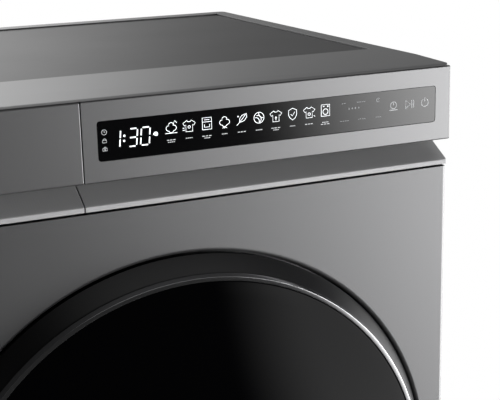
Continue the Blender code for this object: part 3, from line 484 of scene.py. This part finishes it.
def make_front_panel():
    """Front sheet, with the rounded edge and the recess drawn in around the door."""
    r = PANEL_CORNER
    back = PANEL_Y + (panel_high.y - panel_low.y)
    outer = [(-HALF, back)] + arc((-HALF + r, PANEL_Y + r), r, 180, 270, 8)
    outer += arc((HALF - r, PANEL_Y + r), r, 270, 360, 8) + [(HALF, back)]
    inner_r, inner_x = r - SHEET, HALF - SHEET
    outer += [(inner_x, back)] + arc((inner_x - inner_r, PANEL_Y + r), inner_r, 360, 270, 8)
    outer += arc((-inner_x + inner_r, PANEL_Y + r), inner_r, 270, 180, 8) + [(-inner_x, back)]
    sheet = prism("front_sheet", outer, "Z", panel_low.z, panel_high.z)
    edge_r = DISH_R + DISH_EDGE
    drill_round(sheet, edge_r, 0, DOOR_Z)
    edit(sheet, "DESELECT")
    leave()
    for face in sheet.data.polygons:
        centre = face.center - Vector((0, 0, DOOR_Z))
        face.select = sqrt(centre.x ** 2 + centre.z ** 2) < edge_r + 0.0005 and abs(face.normal.y) < 0.5
    activate(sheet)
    bpy.ops.object.mode_set(mode="EDIT")
    bpy.ops.mesh.delete(type="FACE")
    leave()
    floor = PANEL_Y + DISH_DEPTH
    front = arc((edge_r, PANEL_Y + DISH_EDGE), DISH_EDGE, 270, 180, 10)
    corner = (DISH_R - DISH_CORNER, floor - DISH_CORNER)
    front += arc(corner, DISH_CORNER, 0, 90, 5)
    front += [(PORT_R + 0.001, floor), (PORT_R, floor + 0.0006), (PORT_R, floor + SHEET)]
    behind = arc(corner, DISH_CORNER + SHEET, 90, 0, 5)
    behind += arc((edge_r, PANEL_Y + DISH_EDGE), DISH_EDGE - SHEET, 180, 270, 8)
    dish = spun("dish", front + behind, (0, DOOR_Z), closed=False)
    panel = unite("front_sheet", [sheet, dish])
    edit(panel)
    bpy.ops.mesh.remove_doubles(threshold=0.00002)
    bpy.ops.mesh.select_all(action="SELECT")
    bpy.ops.mesh.normals_make_consistent(inside=False)
    leave()
    slot = block("slot", (HOOK_SLOT_X[0], PANEL_Y, DOOR_Z - HOOK_SLOT_HALF),
                 (HOOK_SLOT_X[1], floor + 0.02, DOOR_Z + HOOK_SLOT_HALF))
    cut(panel, slot)
    shade(panel, 30)
    return place(panel, GRAPHITE, "casing", "front_panel", slot="body_steel")


def make_screw(name, at, facing, size=0.0042):
    """Pan head screw with a cross recess, facing along an axis."""
    profile = [(0, 0), (size, 0), (size, size * 0.25), (size * 0.75, size * 0.55), (0, size * 0.65)]
    head = spun(name, profile, (0, 0), edge=size * 0.08, steps=24, axis="Z")
    for turn in (0, pi / 2):
        bpy.ops.mesh.primitive_cube_add(size=1, location=(0, 0, size * 0.6), rotation=(0, 0, turn))
        slot = bpy.context.active_object
        slot.scale = (size * 1.0, size * 0.22, size * 0.7)
        settle(slot)
        cut(head, slot)
    turn = {"+Z": Matrix(), "-Y": Matrix.Rotation(pi / 2, 4, "X"), "+Y": Matrix.Rotation(-pi / 2, 4, "X")}[facing]
    head.data.transform(Matrix.Translation(at) @ turn)
    shade(head)
    return head


def screw_circle(name, radius, y, z, size=0.0042):
    """Eight screws on a circle, facing the rear."""
    angles = [2 * pi * (i + 0.5) / 8 for i in range(8)]
    return [make_screw(name, (radius * cos(a), y, z + radius * sin(a)), "+Y", size) for a in angles]


def make_sides():
    """Side sheets with one shallow pressed field each."""
    for node, side in (("left_side_panel", -1), ("right_side_panel", 1)):
        low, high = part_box(node)
        sheet = refined(node, 0, name=node + "_sheet")
        outline = rounded((low.y + 0.070, high.y - 0.060), (low.z + 0.070, high.z - 0.110), 0.030, 8)
        field = prism("field", outline, "X", *sorted((side * (HALF - 0.0006), side * (HALF + 0.01))))
        cut(sheet, field)
        round_edges(sheet, 0.0004, 2)
        shade(sheet)
        place(sheet, GRAPHITE, "casing", node, slot="body_steel")


def make_plinth():
    """Kick panel and service flap, with a finger notch at the flap's upper edge."""
    clothe("casing", "body_steel", 0.0004, 2, "kick_panel")
    low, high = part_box("service_flap")
    flap = refined("service_flap", 0)
    middle = (low.x + high.x) / 2
    bpy.ops.mesh.primitive_uv_sphere_add(segments=48, ring_count=24, radius=1,
                                         location=(middle, low.y, high.z - 0.006))
    thumb = bpy.context.active_object
    thumb.scale = (0.022, 0.0018, 0.0085)
    settle(thumb)
    cut(flap, thumb)
    round_edges(flap, 0.0003, 2)
    shade(flap)
    place(flap, GRAPHITE, "flap", "service_flap", slot="body_steel")


def make_top():
    """Top frame and the inset top sheet."""
    clothe("casing", "top_frame", 0.0010, 3, "top_frame")
    clothe("casing", "top_panel", 0, 2, "top_panel")


def make_rear():
    """Rear sheet, duct cover with pressed rings and louvres, screws, inlet gland."""
    sheet = refined("rear_panel", 0)
    y = back_high.y
    for i in range(6):
        z = back_high.z - 0.045 - 0.009 * i
        opening = rounded((0.090, 0.230), (z - 0.0022, z + 0.0022), 0.0021, 4)
        cut(sheet, prism("louvre", opening, "Y", y - 0.01, y + 0.01))
    shade(sheet)
    place(sheet, ZINC, "casing", "rear_panel", slot="galvanised")
    r = (cover_high.x - cover_low.x) / 2
    face, base = cover_high.y, cover_low.y
    hub, groove = face - 0.003, face - 0.0035
    profile = [(0, hub), (0.045, hub), (0.052, face), (0.120, face), (0.126, groove), (0.150, groove), (0.156, face),
               (r - 0.024, face), (r - 0.016, base + SHEET), (r, base + SHEET), (r, base), (r - 0.017, base),
               (r - 0.0252, face - SHEET), (0.1565, face - SHEET), (0.1505, groove - SHEET),
               (0.1255, groove - SHEET), (0.1195, face - SHEET), (0.0525, face - SHEET), (0.0455, hub - SHEET),
               (0, hub - SHEET)]
    cover = spun("rear_duct_cover_skin", profile, (0, DRUM_Z), edge=0.0005, steps=128)
    shade(cover, 25)
    place(cover, ZINC, "casing", "rear_duct_cover", slot="galvanised")
    inset = 0.007
    screws = screw_circle("cover_screw", r - inset, base + SHEET, DRUM_Z)
    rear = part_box("left_side_panel")[1].y
    for x in (inset - HALF, HALF - inset):
        screws += [make_screw("edge_screw", (x, rear, 0.07 + 0.14 * k), "+Y") for k in range(6)]
    place(unite("rear_screws", screws), STEEL, "casing", slot="stainless")
    low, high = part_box("mains_inlet")
    gland = refined("mains_inlet", 0.0008)
    x, z = (low.x + high.x) / 2, (low.z + high.z) / 2
    collar = spun("collar", [(0.0046, high.y), (0.0085, high.y), (0.0070, high.y + 0.006), (0.0046, high.y + 0.006)],
                  (x, z), edge=0.0005, steps=48)
    shade(collar)
    place(gland, BLACK, "casing", "mains_inlet", slot="black_plastic")
    place(collar, RUBBER, "casing", slot="rubber")
    collar.name = "inlet_grommet"


def make_base():
    """Base tray and the four levelling feet with their lock nuts."""
    clothe("casing", "grey_plastic", 0.0008, 2, "base_tray")
    nut_z = 0.0138
    for i in range(1, 5):
        low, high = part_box(f"foot_{i}")
        x, y = (low.x + high.x) / 2, (low.y + high.y) / 2
        profile = [(0, 0), (0.0175, 0), (0.0200, 0.0022), (0.0200, 0.0075), (0.0170, 0.0105), (0.0085, 0.0115),
                   (0.0085, 0.0160), (0.0050, 0.0165), (0.0050, high.z), (0, high.z)]
        foot = spun(f"foot_{i}_skin", profile, (x, y), edge=0.0006, steps=64, axis="Z")
        shade(foot)
        place(foot, RUBBER, f"levelling_foot_{i}", f"foot_{i}", slot="rubber")
        bpy.ops.mesh.primitive_cylinder_add(vertices=6, radius=0.0092, depth=0.0042, location=(x, y, nut_z))
        nut = bpy.context.active_object
        settle(nut)
        bpy.ops.mesh.primitive_cylinder_add(vertices=32, radius=0.0086, depth=0.02, location=(x, y, nut_z))
        bore = bpy.context.active_object
        settle(bore)
        cut(nut, bore)
        round_edges(nut, 0.0003, 2)
        shade(nut)
        nut.name = f"lock_nut_{i}"
        place(nut, STEEL, f"levelling_foot_{i}", slot="stainless")


# ---- fascia, window and drawer
def make_fascia():
    """Fascia, its window, and the water tank with its front."""
    clothe("casing", "fascia", 0.0010, 3, "control_fascia")
    clothe("tank", "fascia", 0.0010, 3, "tank_facing")
    clothe("casing", "grip_strip", 0.0006, 3, "grip_strip")
    clothe("tank", "grip_strip", 0.0006, 3, "tank_grip_strip")
    clothe("casing", "window", 0.0003, 2, "display_window")
    clothe("tank", "clear_plastic", 0, 2, "water_tank")


def circle(x, z, r, start=0, stop=360, count=20):
    return arc((x, z), r, start, stop, count)


SHIRT = [(-0.35, 0.75), (-0.95, 0.35), (-0.70, -0.02), (-0.50, 0.10), (-0.50, -0.85), (0.50, -0.85),
         (0.50, 0.10), (0.70, -0.02), (0.95, 0.35), (0.35, 0.75), (0.18, 0.55), (-0.18, 0.55), (-0.35, 0.75)]
CLOUD = circle(-0.38, -0.10, 0.38, 80, 280, 10) + circle(0.0, -0.38, 0.36, 200, 340, 8) \
    + circle(0.40, -0.08, 0.38, -90, 110, 10) + circle(0.0, 0.30, 0.40, 20, 160, 8)
LEAF = [(-0.8, -0.8), (-0.35, -0.35), (-0.35, 0.15), (0.0, 0.6), (0.75, 0.85), (0.75, 0.3), (0.4, -0.15),
        (0.0, -0.30), (-0.35, -0.35)]
SHIELD = [(0.0, 0.85), (0.65, 0.55), (0.65, -0.15), (0.40, -0.60), (0.0, -0.90), (-0.40, -0.60), (-0.65, -0.15),
          (-0.65, 0.55), (0.0, 0.85)]
FRAME_SHAPE = [(-0.7, -0.85), (-0.7, 0.85), (0.7, 0.85), (0.7, -0.85), (-0.7, -0.85)]
ICONS = [
    [CLOUD, [(0.30, 0.40), (0.55, 0.95), (0.85, 0.60)], [(-0.9, -0.8), (0.9, -0.8)]],
    [SHIRT, [(-1.0, -0.30), (-0.72, -0.30)], [(-1.0, -0.60), (-0.62, -0.60)], circle(0, -0.2, 0.18)],
    [FRAME_SHAPE, [(-0.7, 0.25), (0.7, 0.25)], [(-0.4, -0.1), (-0.4, -0.5), (0.4, -0.5), (0.4, -0.1)],
     [(-0.4, 0.55), (0.4, 0.55)]],
    [CLOUD, [(0, -0.74), (0, -1.0)], [(-0.35, -0.95), (0.0, -0.74), (0.35, -0.95)]],
    [LEAF, [(-0.35, -0.35), (0.6, 0.7)], [(-0.7, 0.5), (-0.45, 0.5)], [(-0.58, 0.62), (-0.58, 0.38)]],
    [circle(0, 0, 0.80), circle(-0.2, -0.2, 0.55, -50, 110, 10), circle(-0.5, -0.5, 0.55, -30, 100, 10),
     circle(0.7, 0.7, 0.75, 180, 270, 8)],
    [SHIRT, [(-0.15, -0.35), (0.0, -0.10), (0.15, -0.35)], [(0.0, -0.10), (0.0, -0.65)]],
    [SHIELD, [(-0.30, 0.0), (-0.05, -0.30), (0.35, 0.30)]],
    [SHIRT, circle(0.0, -0.30, 0.20), [(0.75, -0.55), (0.95, -0.75)]],
    [FRAME_SHAPE, circle(0, -0.20, 0.42), [(-0.45, 0.58), (-0.15, 0.58)], circle(0.40, 0.58, 0.08, count=10)],
]
PLAY_PAUSE = [[(-0.8, -0.7), (-0.8, 0.7), (0.15, 0.0), (-0.8, -0.7)], [(0.42, -0.7), (0.42, 0.7)],
              [(0.80, -0.7), (0.80, 0.7)]]
POWER = [circle(0, -0.08, 0.72, 120, 420, 24), [(0, 0.15), (0, 0.85)]]
PROGRAMME = [circle(0, 0, 0.62), [(0, 0), (0.0, 0.45)], [(-0.85, -0.85), (0.85, -0.85)]]


def strokes(name, shapes, look, width, flat=0.35):
    """Printed lines on the window: (centre x, centre z, size, strokes) each, a little raised."""
    curve = bpy.data.curves.new(name, "CURVE")
    curve.dimensions = "3D"
    curve.bevel_depth = width / 2
    curve.bevel_resolution = 1
    curve.use_fill_caps = True
    for x, z, size, lines in shapes:
        for line in lines:
            spline = curve.splines.new("POLY")
            spline.points.add(len(line) - 1)
            for point, (u, v) in zip(spline.points, line):
                point.co = (x + u * size, 0, z + v * size, 1)
    piece = bpy.data.objects.new(name, curve)
    bpy.context.scene.collection.objects.link(piece)
    activate(piece)
    bpy.ops.object.convert(target="MESH")
    piece = bpy.context.active_object
    piece.data.transform(Matrix.Diagonal((1, flat, 1, 1)))
    piece.data.transform(Matrix.Translation((0, window_low.y - 0.00002, 0)))
    shade(piece)
    return place(piece, look, "casing")


def make_print():
    """Digits, programme marks and touch marks behind the window's surface."""
    left, low = window_low.x - GAP, window_low.z - GAP
    first, pitch, size = 0.0712, 0.01785, 0.0066
    row = low + 0.0245
    marks = [(left + first + pitch * i, row, size, lines) for i, lines in enumerate(ICONS)]
    strokes("programme_marks", marks, PRINT, 0.00062)
    dashes = []
    for i in range(len(ICONS)):
        x = left + first + pitch * i
        rows = (0.0, -0.0019) if i in (0, 2, 6, 9) else (0.0,)
        for k, drop in enumerate(rows):
            half = (0.0046, 0.0036, 0.0052, 0.0030)[(i + k) % 4]
            pieces = 3 + (i + k) % 2
            step = 2 * half / pieces
            for n in range(pieces):
                start = x - half + n * step
                dashes.append((start, low + 0.0128 + drop, 1.0, [[(0, 0), (step * 0.72, 0)]]))
    strokes("programme_dashes", dashes, PRINT_MID, 0.00085)
    lean, tall = 0.10, 0.0163
    base = low + 0.0112

    def digit(x, wide, runs):
        return [[(left + x + u * wide + v * tall * lean, base + v * tall) for u, v in run] for run in runs]

    def bars(sides, levels):
        uprights = [[(side, start), (side, stop)] for side in sides for start, stop in ((0.06, 0.44), (0.56, 0.94))]
        return uprights + [[(0.13, level), (0.87, level)] for level in levels]

    one = digit(0.0208, 0.0, [[(0, 0.06), (0, 0.46)], [(0, 0.54), (0, 0.94)]])
    three = digit(0.0292, 0.0078, bars((1,), (0, 0.5, 1)))
    zero = digit(0.0408, 0.0084, bars((1, 0), (0, 1)))
    strokes("time_digits", [(0, 0, 1.0, one + three + zero)], PRINT, 0.0014, 0.12)
    dots = [(left + 0.0253, base + 0.0058, 0.0006, [circle(0, 0, 1, count=12)]),
            (left + 0.0257, base + 0.0105, 0.0006, [circle(0, 0, 1, count=12)])]
    strokes("time_colon", dots, PRINT, 0.0011, 0.2)
    x, z = left + 0.0558, low + 0.0200
    disc = [(x, z, 0.0011, [circle(0, 0, 1, count=20)]), (x, z, 0.0018, [circle(0, 0, 1, -60, 200, count=24)])]
    strokes("level_mark", disc, PRINT, 0.0011, 0.2)
    x = left + 0.0068
    size = 0.0026

    def lock(half):
        return [(-half, -0.8), (-half, 0.1), (half, 0.1), (half, -0.8), (-half, -0.8)]

    small = [(x, low + 0.0268, size, [circle(0, 0, 0.9), [(0, 0.45), (0, 0), (0.35, 0)]]),
             (x, low + 0.0193, size, [lock(0.7), circle(0, 0.1, 0.5, 0, 180, 10)]),
             (x, low + 0.0118, size, [lock(0.8), circle(0, 0.1, 0.45, 0, 180, 10), circle(0, -0.35, 0.2, count=8)])]
    strokes("status_marks", small, PRINT_MID, 0.00040)
    faint = []
    for x, z, half in ((0.2523, 0.0290, 0.0024), (0.2720, 0.0290, 0.0050), (0.2533, 0.0116, 0.0052),
                       (0.2725, 0.0118, 0.0044), (0.2914, 0.0118, 0.0034)):
        steps = max(2, int(half / 0.0011))
        for n in range(steps):
            start = left + x - half + 2 * half * n / steps
            faint.append((start, low + z, 1.0, [[(0, 0), (1.4 * half / steps, 0)]]))
    track = [(left + 0.2580 + 0.0036 * n, low + 0.0234, 0.0006, [circle(0, 0, 1, count=8)]) for n in range(4)]
    turn = [circle(0, 0, 0.9, 30, 330, 16), [(-0.5, 0), (0.5, 0)]]
    faint += track + [(left + 0.2909, low + 0.0290, 0.0021, turn)]
    strokes("option_marks", faint, PRINT_DIM, 0.00055)
    touch = [(left + 0.3086, low + 0.0218, 0.0056, PROGRAMME), (left + 0.3274, low + 0.0212, 0.0058, PLAY_PAUSE),
             (left + 0.3452, low + 0.0216, 0.0056, POWER)]
    strokes("touch_marks", touch, PRINT_TOUCH, 0.00080)


# ---- door
def make_door():
    """Cone ring, bright trim, domed glass and what lies behind them."""
    nose = ring_low.y
    base = ring_high.y
    ring_r = (ring_high.z - ring_low.z) / 2
    front_r, trim_r = ring_r - RING_TAPER, (trim_high.z - trim_low.z) / 2
    inner_r = trim_r - TRIM_INSIDE
    profile = [(inner_r, base), (ring_r - 0.0006, base), (ring_r, PANEL_Y), (front_r + 0.0008, nose + 0.0010),
               (front_r - 0.0004, nose), (inner_r, nose + 0.0012)]
    ring = spun("door_ring_skin", profile, (0, DOOR_Z), edge=0.0005)
    knuckle_low, knuckle_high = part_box("hinge_arm")
    notch = block("notch", (knuckle_low.x - 0.0005, knuckle_low.y - 0.004, knuckle_low.z - 0.001),
                  (knuckle_high.x + 0.02, PANEL_Y + 0.02, knuckle_high.z + 0.001), 0.0006)
    cut(ring, notch)
    grip = block("grip", (-ring_r - 0.01, PANEL_Y - GRIP_DEEP, DOOR_Z - GRIP_HALF),
                 (GRIP_X, PANEL_Y + 0.02, DOOR_Z + GRIP_HALF), 0.0030)
    cut(ring, grip)
    shade(ring, 25)
    place(ring, DOOR_BLACK, "door", "door_ring", slot="door_black")
    trim_edge = trim_low.y
    trim_front = trim_r - 0.0023
    inside = (glass_high.x - glass_low.x) / 2 + GAP
    trim = [(inside, trim_edge + TRIM_DEEP), (inside, trim_edge), (trim_front + 0.0006, trim_edge),
            (trim_r + 0.0001, nose - GAP), (inner_r - GAP, nose + 0.0009), (inner_r - GAP, trim_edge + TRIM_DEEP)]
    bright = spun("door_trim_skin", trim, (0, DOOR_Z), edge=0.0003)
    shade(bright, 25)
    place(bright, CHROME, "door", "door_trim_ring", slot="chrome_trim")
    glass_r = inside - GAP
    rim = glass_high.y - GLASS_THICK
    rise = rim - glass_low.y
    radius = (glass_r ** 2 + rise ** 2) / (2 * rise)
    steps = 32
    front = [(glass_r * i / steps, glass_low.y + radius - sqrt(radius ** 2 - (glass_r * i / steps) ** 2))
             for i in range(steps)]
    corner = 0.0012
    edge = arc((glass_r - corner, rim + corner * 1.05), corner, -75, 0, 4)
    behind = [(r, y + GLASS_THICK) for r, y in front[::-1]]
    glass = spun("door_glass_skin", front + edge + [(glass_r, rim + GLASS_THICK)] + behind, (0, DOOR_Z))
    shade(glass, 40)
    place(glass, DOOR_GLASS, "door", "door_glass", slot="door_glass")
    clothe("door", "door_black", 0.0004, 2, "door_inner_frame")
    clothe("door", "clear_plastic", 0.0006, 2, "door_bowl")
    place(refined("hinge_arm", 0.0006), CAST, "door", "hinge_arm", slot="black_plastic")
    place(refined("hinge_bracket", 0.0006), CAST, "casing", "hinge_bracket", slot="black_plastic")
    clothe("latch_hook", "stainless", 0.0004, 2, "door_hook")
    clothe("casing", "black_plastic", 0.0008, 2, "door_catch")
    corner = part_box("hinge_bracket")[1]
    screws = [make_screw("hinge_screw", (corner.x - 0.0050, corner.y - 0.0030, DOOR_Z + z), "-Y", 0.0034)
              for z in (-0.036, 0.036)]
    place(unite("hinge_screws", screws), STEEL, "casing", slot="stainless")
    frame_screws = screw_circle("frame_screw", FRAME_SCREWS_R, frame_high.y, DOOR_Z, 0.0036)
    place(unite("door_frame_screws", frame_screws), STEEL, "door", slot="stainless")


# ---- inside
def make_inside():
    """Drum, lifters, collar, filter and the larger pieces around them."""
    clothe("drum", "stainless", 0.0004, 2, "drum_shell", "drum_back")
    clothe("drum", "stainless", 0.0005, 2, "drum_shaft")
    clothe("drum", "grey_plastic", 0.0040, 4, "lifter_1", "lifter_2", "lifter_3")
    clothe("casing", "grey_plastic", 0.0008, 2, "air_collar")
    clothe("filter", "pale_plastic", 0.0005, 2, "lint_filter")
    clothe("casing", "galvanised", 0.0004, 2, "front_bulkhead")
    clothe("casing", "galvanised", 0.0010, 2, "motor_housing")
    clothe("casing", "cast", 0.0020, 3, "compressor")
    clothe("casing", "grey_plastic", 0.0010, 2, "heat_pump_cover", "fan_housing")
    clothe("casing", "pale_plastic", 0.0006, 2, "tank_housing")


# ---- room and light
BASE_LIGHT = 0.03
LOBES = [  # direction, where it starts, where it is full, strength, height it ends at
    ((0.93, -0.34, 0.02), 0.68, 0.83, 9.5, 0.02),
    ((-0.25, 0.88, 0.40), 0.76, 0.98, 2.3, 0.6),
    ((0.55, 0.78, 0.30), 0.75, 0.97, 0.28, 0.6),
    ((0.20, 0.10, 0.97), 0.70, 0.96, 0.8, 2.0),
    ((-0.80, 0.60, 0.0), 0.60, 0.95, 0.7, 0.6),
]


def soft_step(tree, socket, start, stop, reach):
    """Rise smoothly to reach as the value goes from start to stop."""
    ramp = tree.nodes.new("ShaderNodeMapRange")
    ramp.interpolation_type = "SMOOTHSTEP"
    for label, value in (("From Min", start), ("From Max", stop), ("To Min", 0.0), ("To Max", reach)):
        ramp.inputs[label].default_value = value
    tree.links.new(socket, ramp.inputs["Value"])
    return ramp.outputs["Result"]


def lobe(tree, direction, low, high, strength, ceiling):
    """A soft bright patch of the room around a direction, ending at a height; returns its strength."""
    where = tree.nodes.new("ShaderNodeTexCoord")
    dot = tree.nodes.new("ShaderNodeVectorMath")
    dot.operation = "DOT_PRODUCT"
    dot.inputs[1].default_value = Vector(direction).normalized()
    tree.links.new(where.outputs["Generated"], dot.inputs[0])
    split = tree.nodes.new("ShaderNodeSeparateXYZ")
    tree.links.new(where.outputs["Generated"], split.inputs[0])
    patch = soft_step(tree, dot.outputs["Value"], low, high, strength)
    below = soft_step(tree, split.outputs["Z"], ceiling + 0.2, ceiling, 1.0)
    both = tree.nodes.new("ShaderNodeMath")
    both.operation = "MULTIPLY"
    tree.links.new(patch, both.inputs[0])
    tree.links.new(below, both.inputs[1])
    return both.outputs[0]


def make_world():
    """White room for the camera; dim all round with soft bright sides for everything else."""
    world = bpy.data.worlds.new("room")
    bpy.context.scene.world = world
    world.use_nodes = True
    tree = world.node_tree
    tree.nodes.clear()
    total = None
    for direction, low, high, strength, ceiling in LOBES:
        patch = lobe(tree, direction, low, high, strength, ceiling)
        if total is None:
            total = patch
        else:
            plus = tree.nodes.new("ShaderNodeMath")
            plus.operation = "ADD"
            tree.links.new(total, plus.inputs[0])
            tree.links.new(patch, plus.inputs[1])
            total = plus.outputs[0]
    base = tree.nodes.new("ShaderNodeMath")
    base.operation = "ADD"
    base.inputs[1].default_value = BASE_LIGHT
    tree.links.new(total, base.inputs[0])
    lit = tree.nodes.new("ShaderNodeBackground")
    lit.inputs["Color"].default_value = (1.0, 1.0, 1.0, 1.0)
    tree.links.new(base.outputs[0], lit.inputs["Strength"])
    plain = tree.nodes.new("ShaderNodeBackground")
    plain.inputs["Color"].default_value = (1.0, 1.0, 1.0, 1.0)
    plain.inputs["Strength"].default_value = 1.0
    path = tree.nodes.new("ShaderNodeLightPath")
    mix = tree.nodes.new("ShaderNodeMixShader")
    tree.links.new(path.outputs["Is Camera Ray"], mix.inputs[0])
    tree.links.new(lit.outputs[0], mix.inputs[1])
    tree.links.new(plain.outputs[0], mix.inputs[2])
    out = tree.nodes.new("ShaderNodeOutputWorld")
    tree.links.new(mix.outputs[0], out.inputs["Surface"])


def make_floor():
    """Plain pale floor under the machine."""
    bpy.ops.mesh.primitive_circle_add(vertices=96, radius=0.95, fill_type="NGON", location=(0, 0, -0.0005))
    floor = bpy.context.active_object
    floor.name = "floor"
    settle(floor)
    look = bpy.data.materials.new("floor_pale")
    look.use_nodes = True
    look.node_tree.nodes["Principled BSDF"].inputs["Base Color"].default_value = (0.80, 0.80, 0.80, 1)
    look.node_tree.nodes["Principled BSDF"].inputs["Roughness"].default_value = 0.9
    floor.data.materials.append(look)


def make_camera():
    """Front view from the left and above, close to the upper right of the machine."""
    yaw, pitch, roll = radians(24.12), radians(14.92), radians(-1.44)
    forward = Vector((sin(yaw) * cos(pitch), cos(yaw) * cos(pitch), -sin(pitch)))
    right = Vector((cos(yaw), -sin(yaw), 0))
    up = right.cross(forward)
    across = cos(roll) * right + sin(roll) * up
    upright = -sin(roll) * right + cos(roll) * up
    data = bpy.data.cameras.new("camera")
    data.lens, data.sensor_width = 87.1, 36.0
    camera = bpy.data.objects.new("camera", data)
    bpy.context.scene.collection.objects.link(camera)
    turn = Matrix((across, upright, -forward)).transposed().to_4x4()
    camera.matrix_world = Matrix.Translation((-0.389, FASCIA_Y - 1.028, 1.035)) @ turn
    bpy.context.scene.camera = camera


dress_packed_nodes()
make_front_panel()
make_sides()
make_plinth()
make_top()
make_rear()
make_base()
make_fascia()
make_print()
make_door()
make_inside()
make_world()
make_floor()
make_camera()
bpy.context.scene.view_settings.view_transform = "Standard"
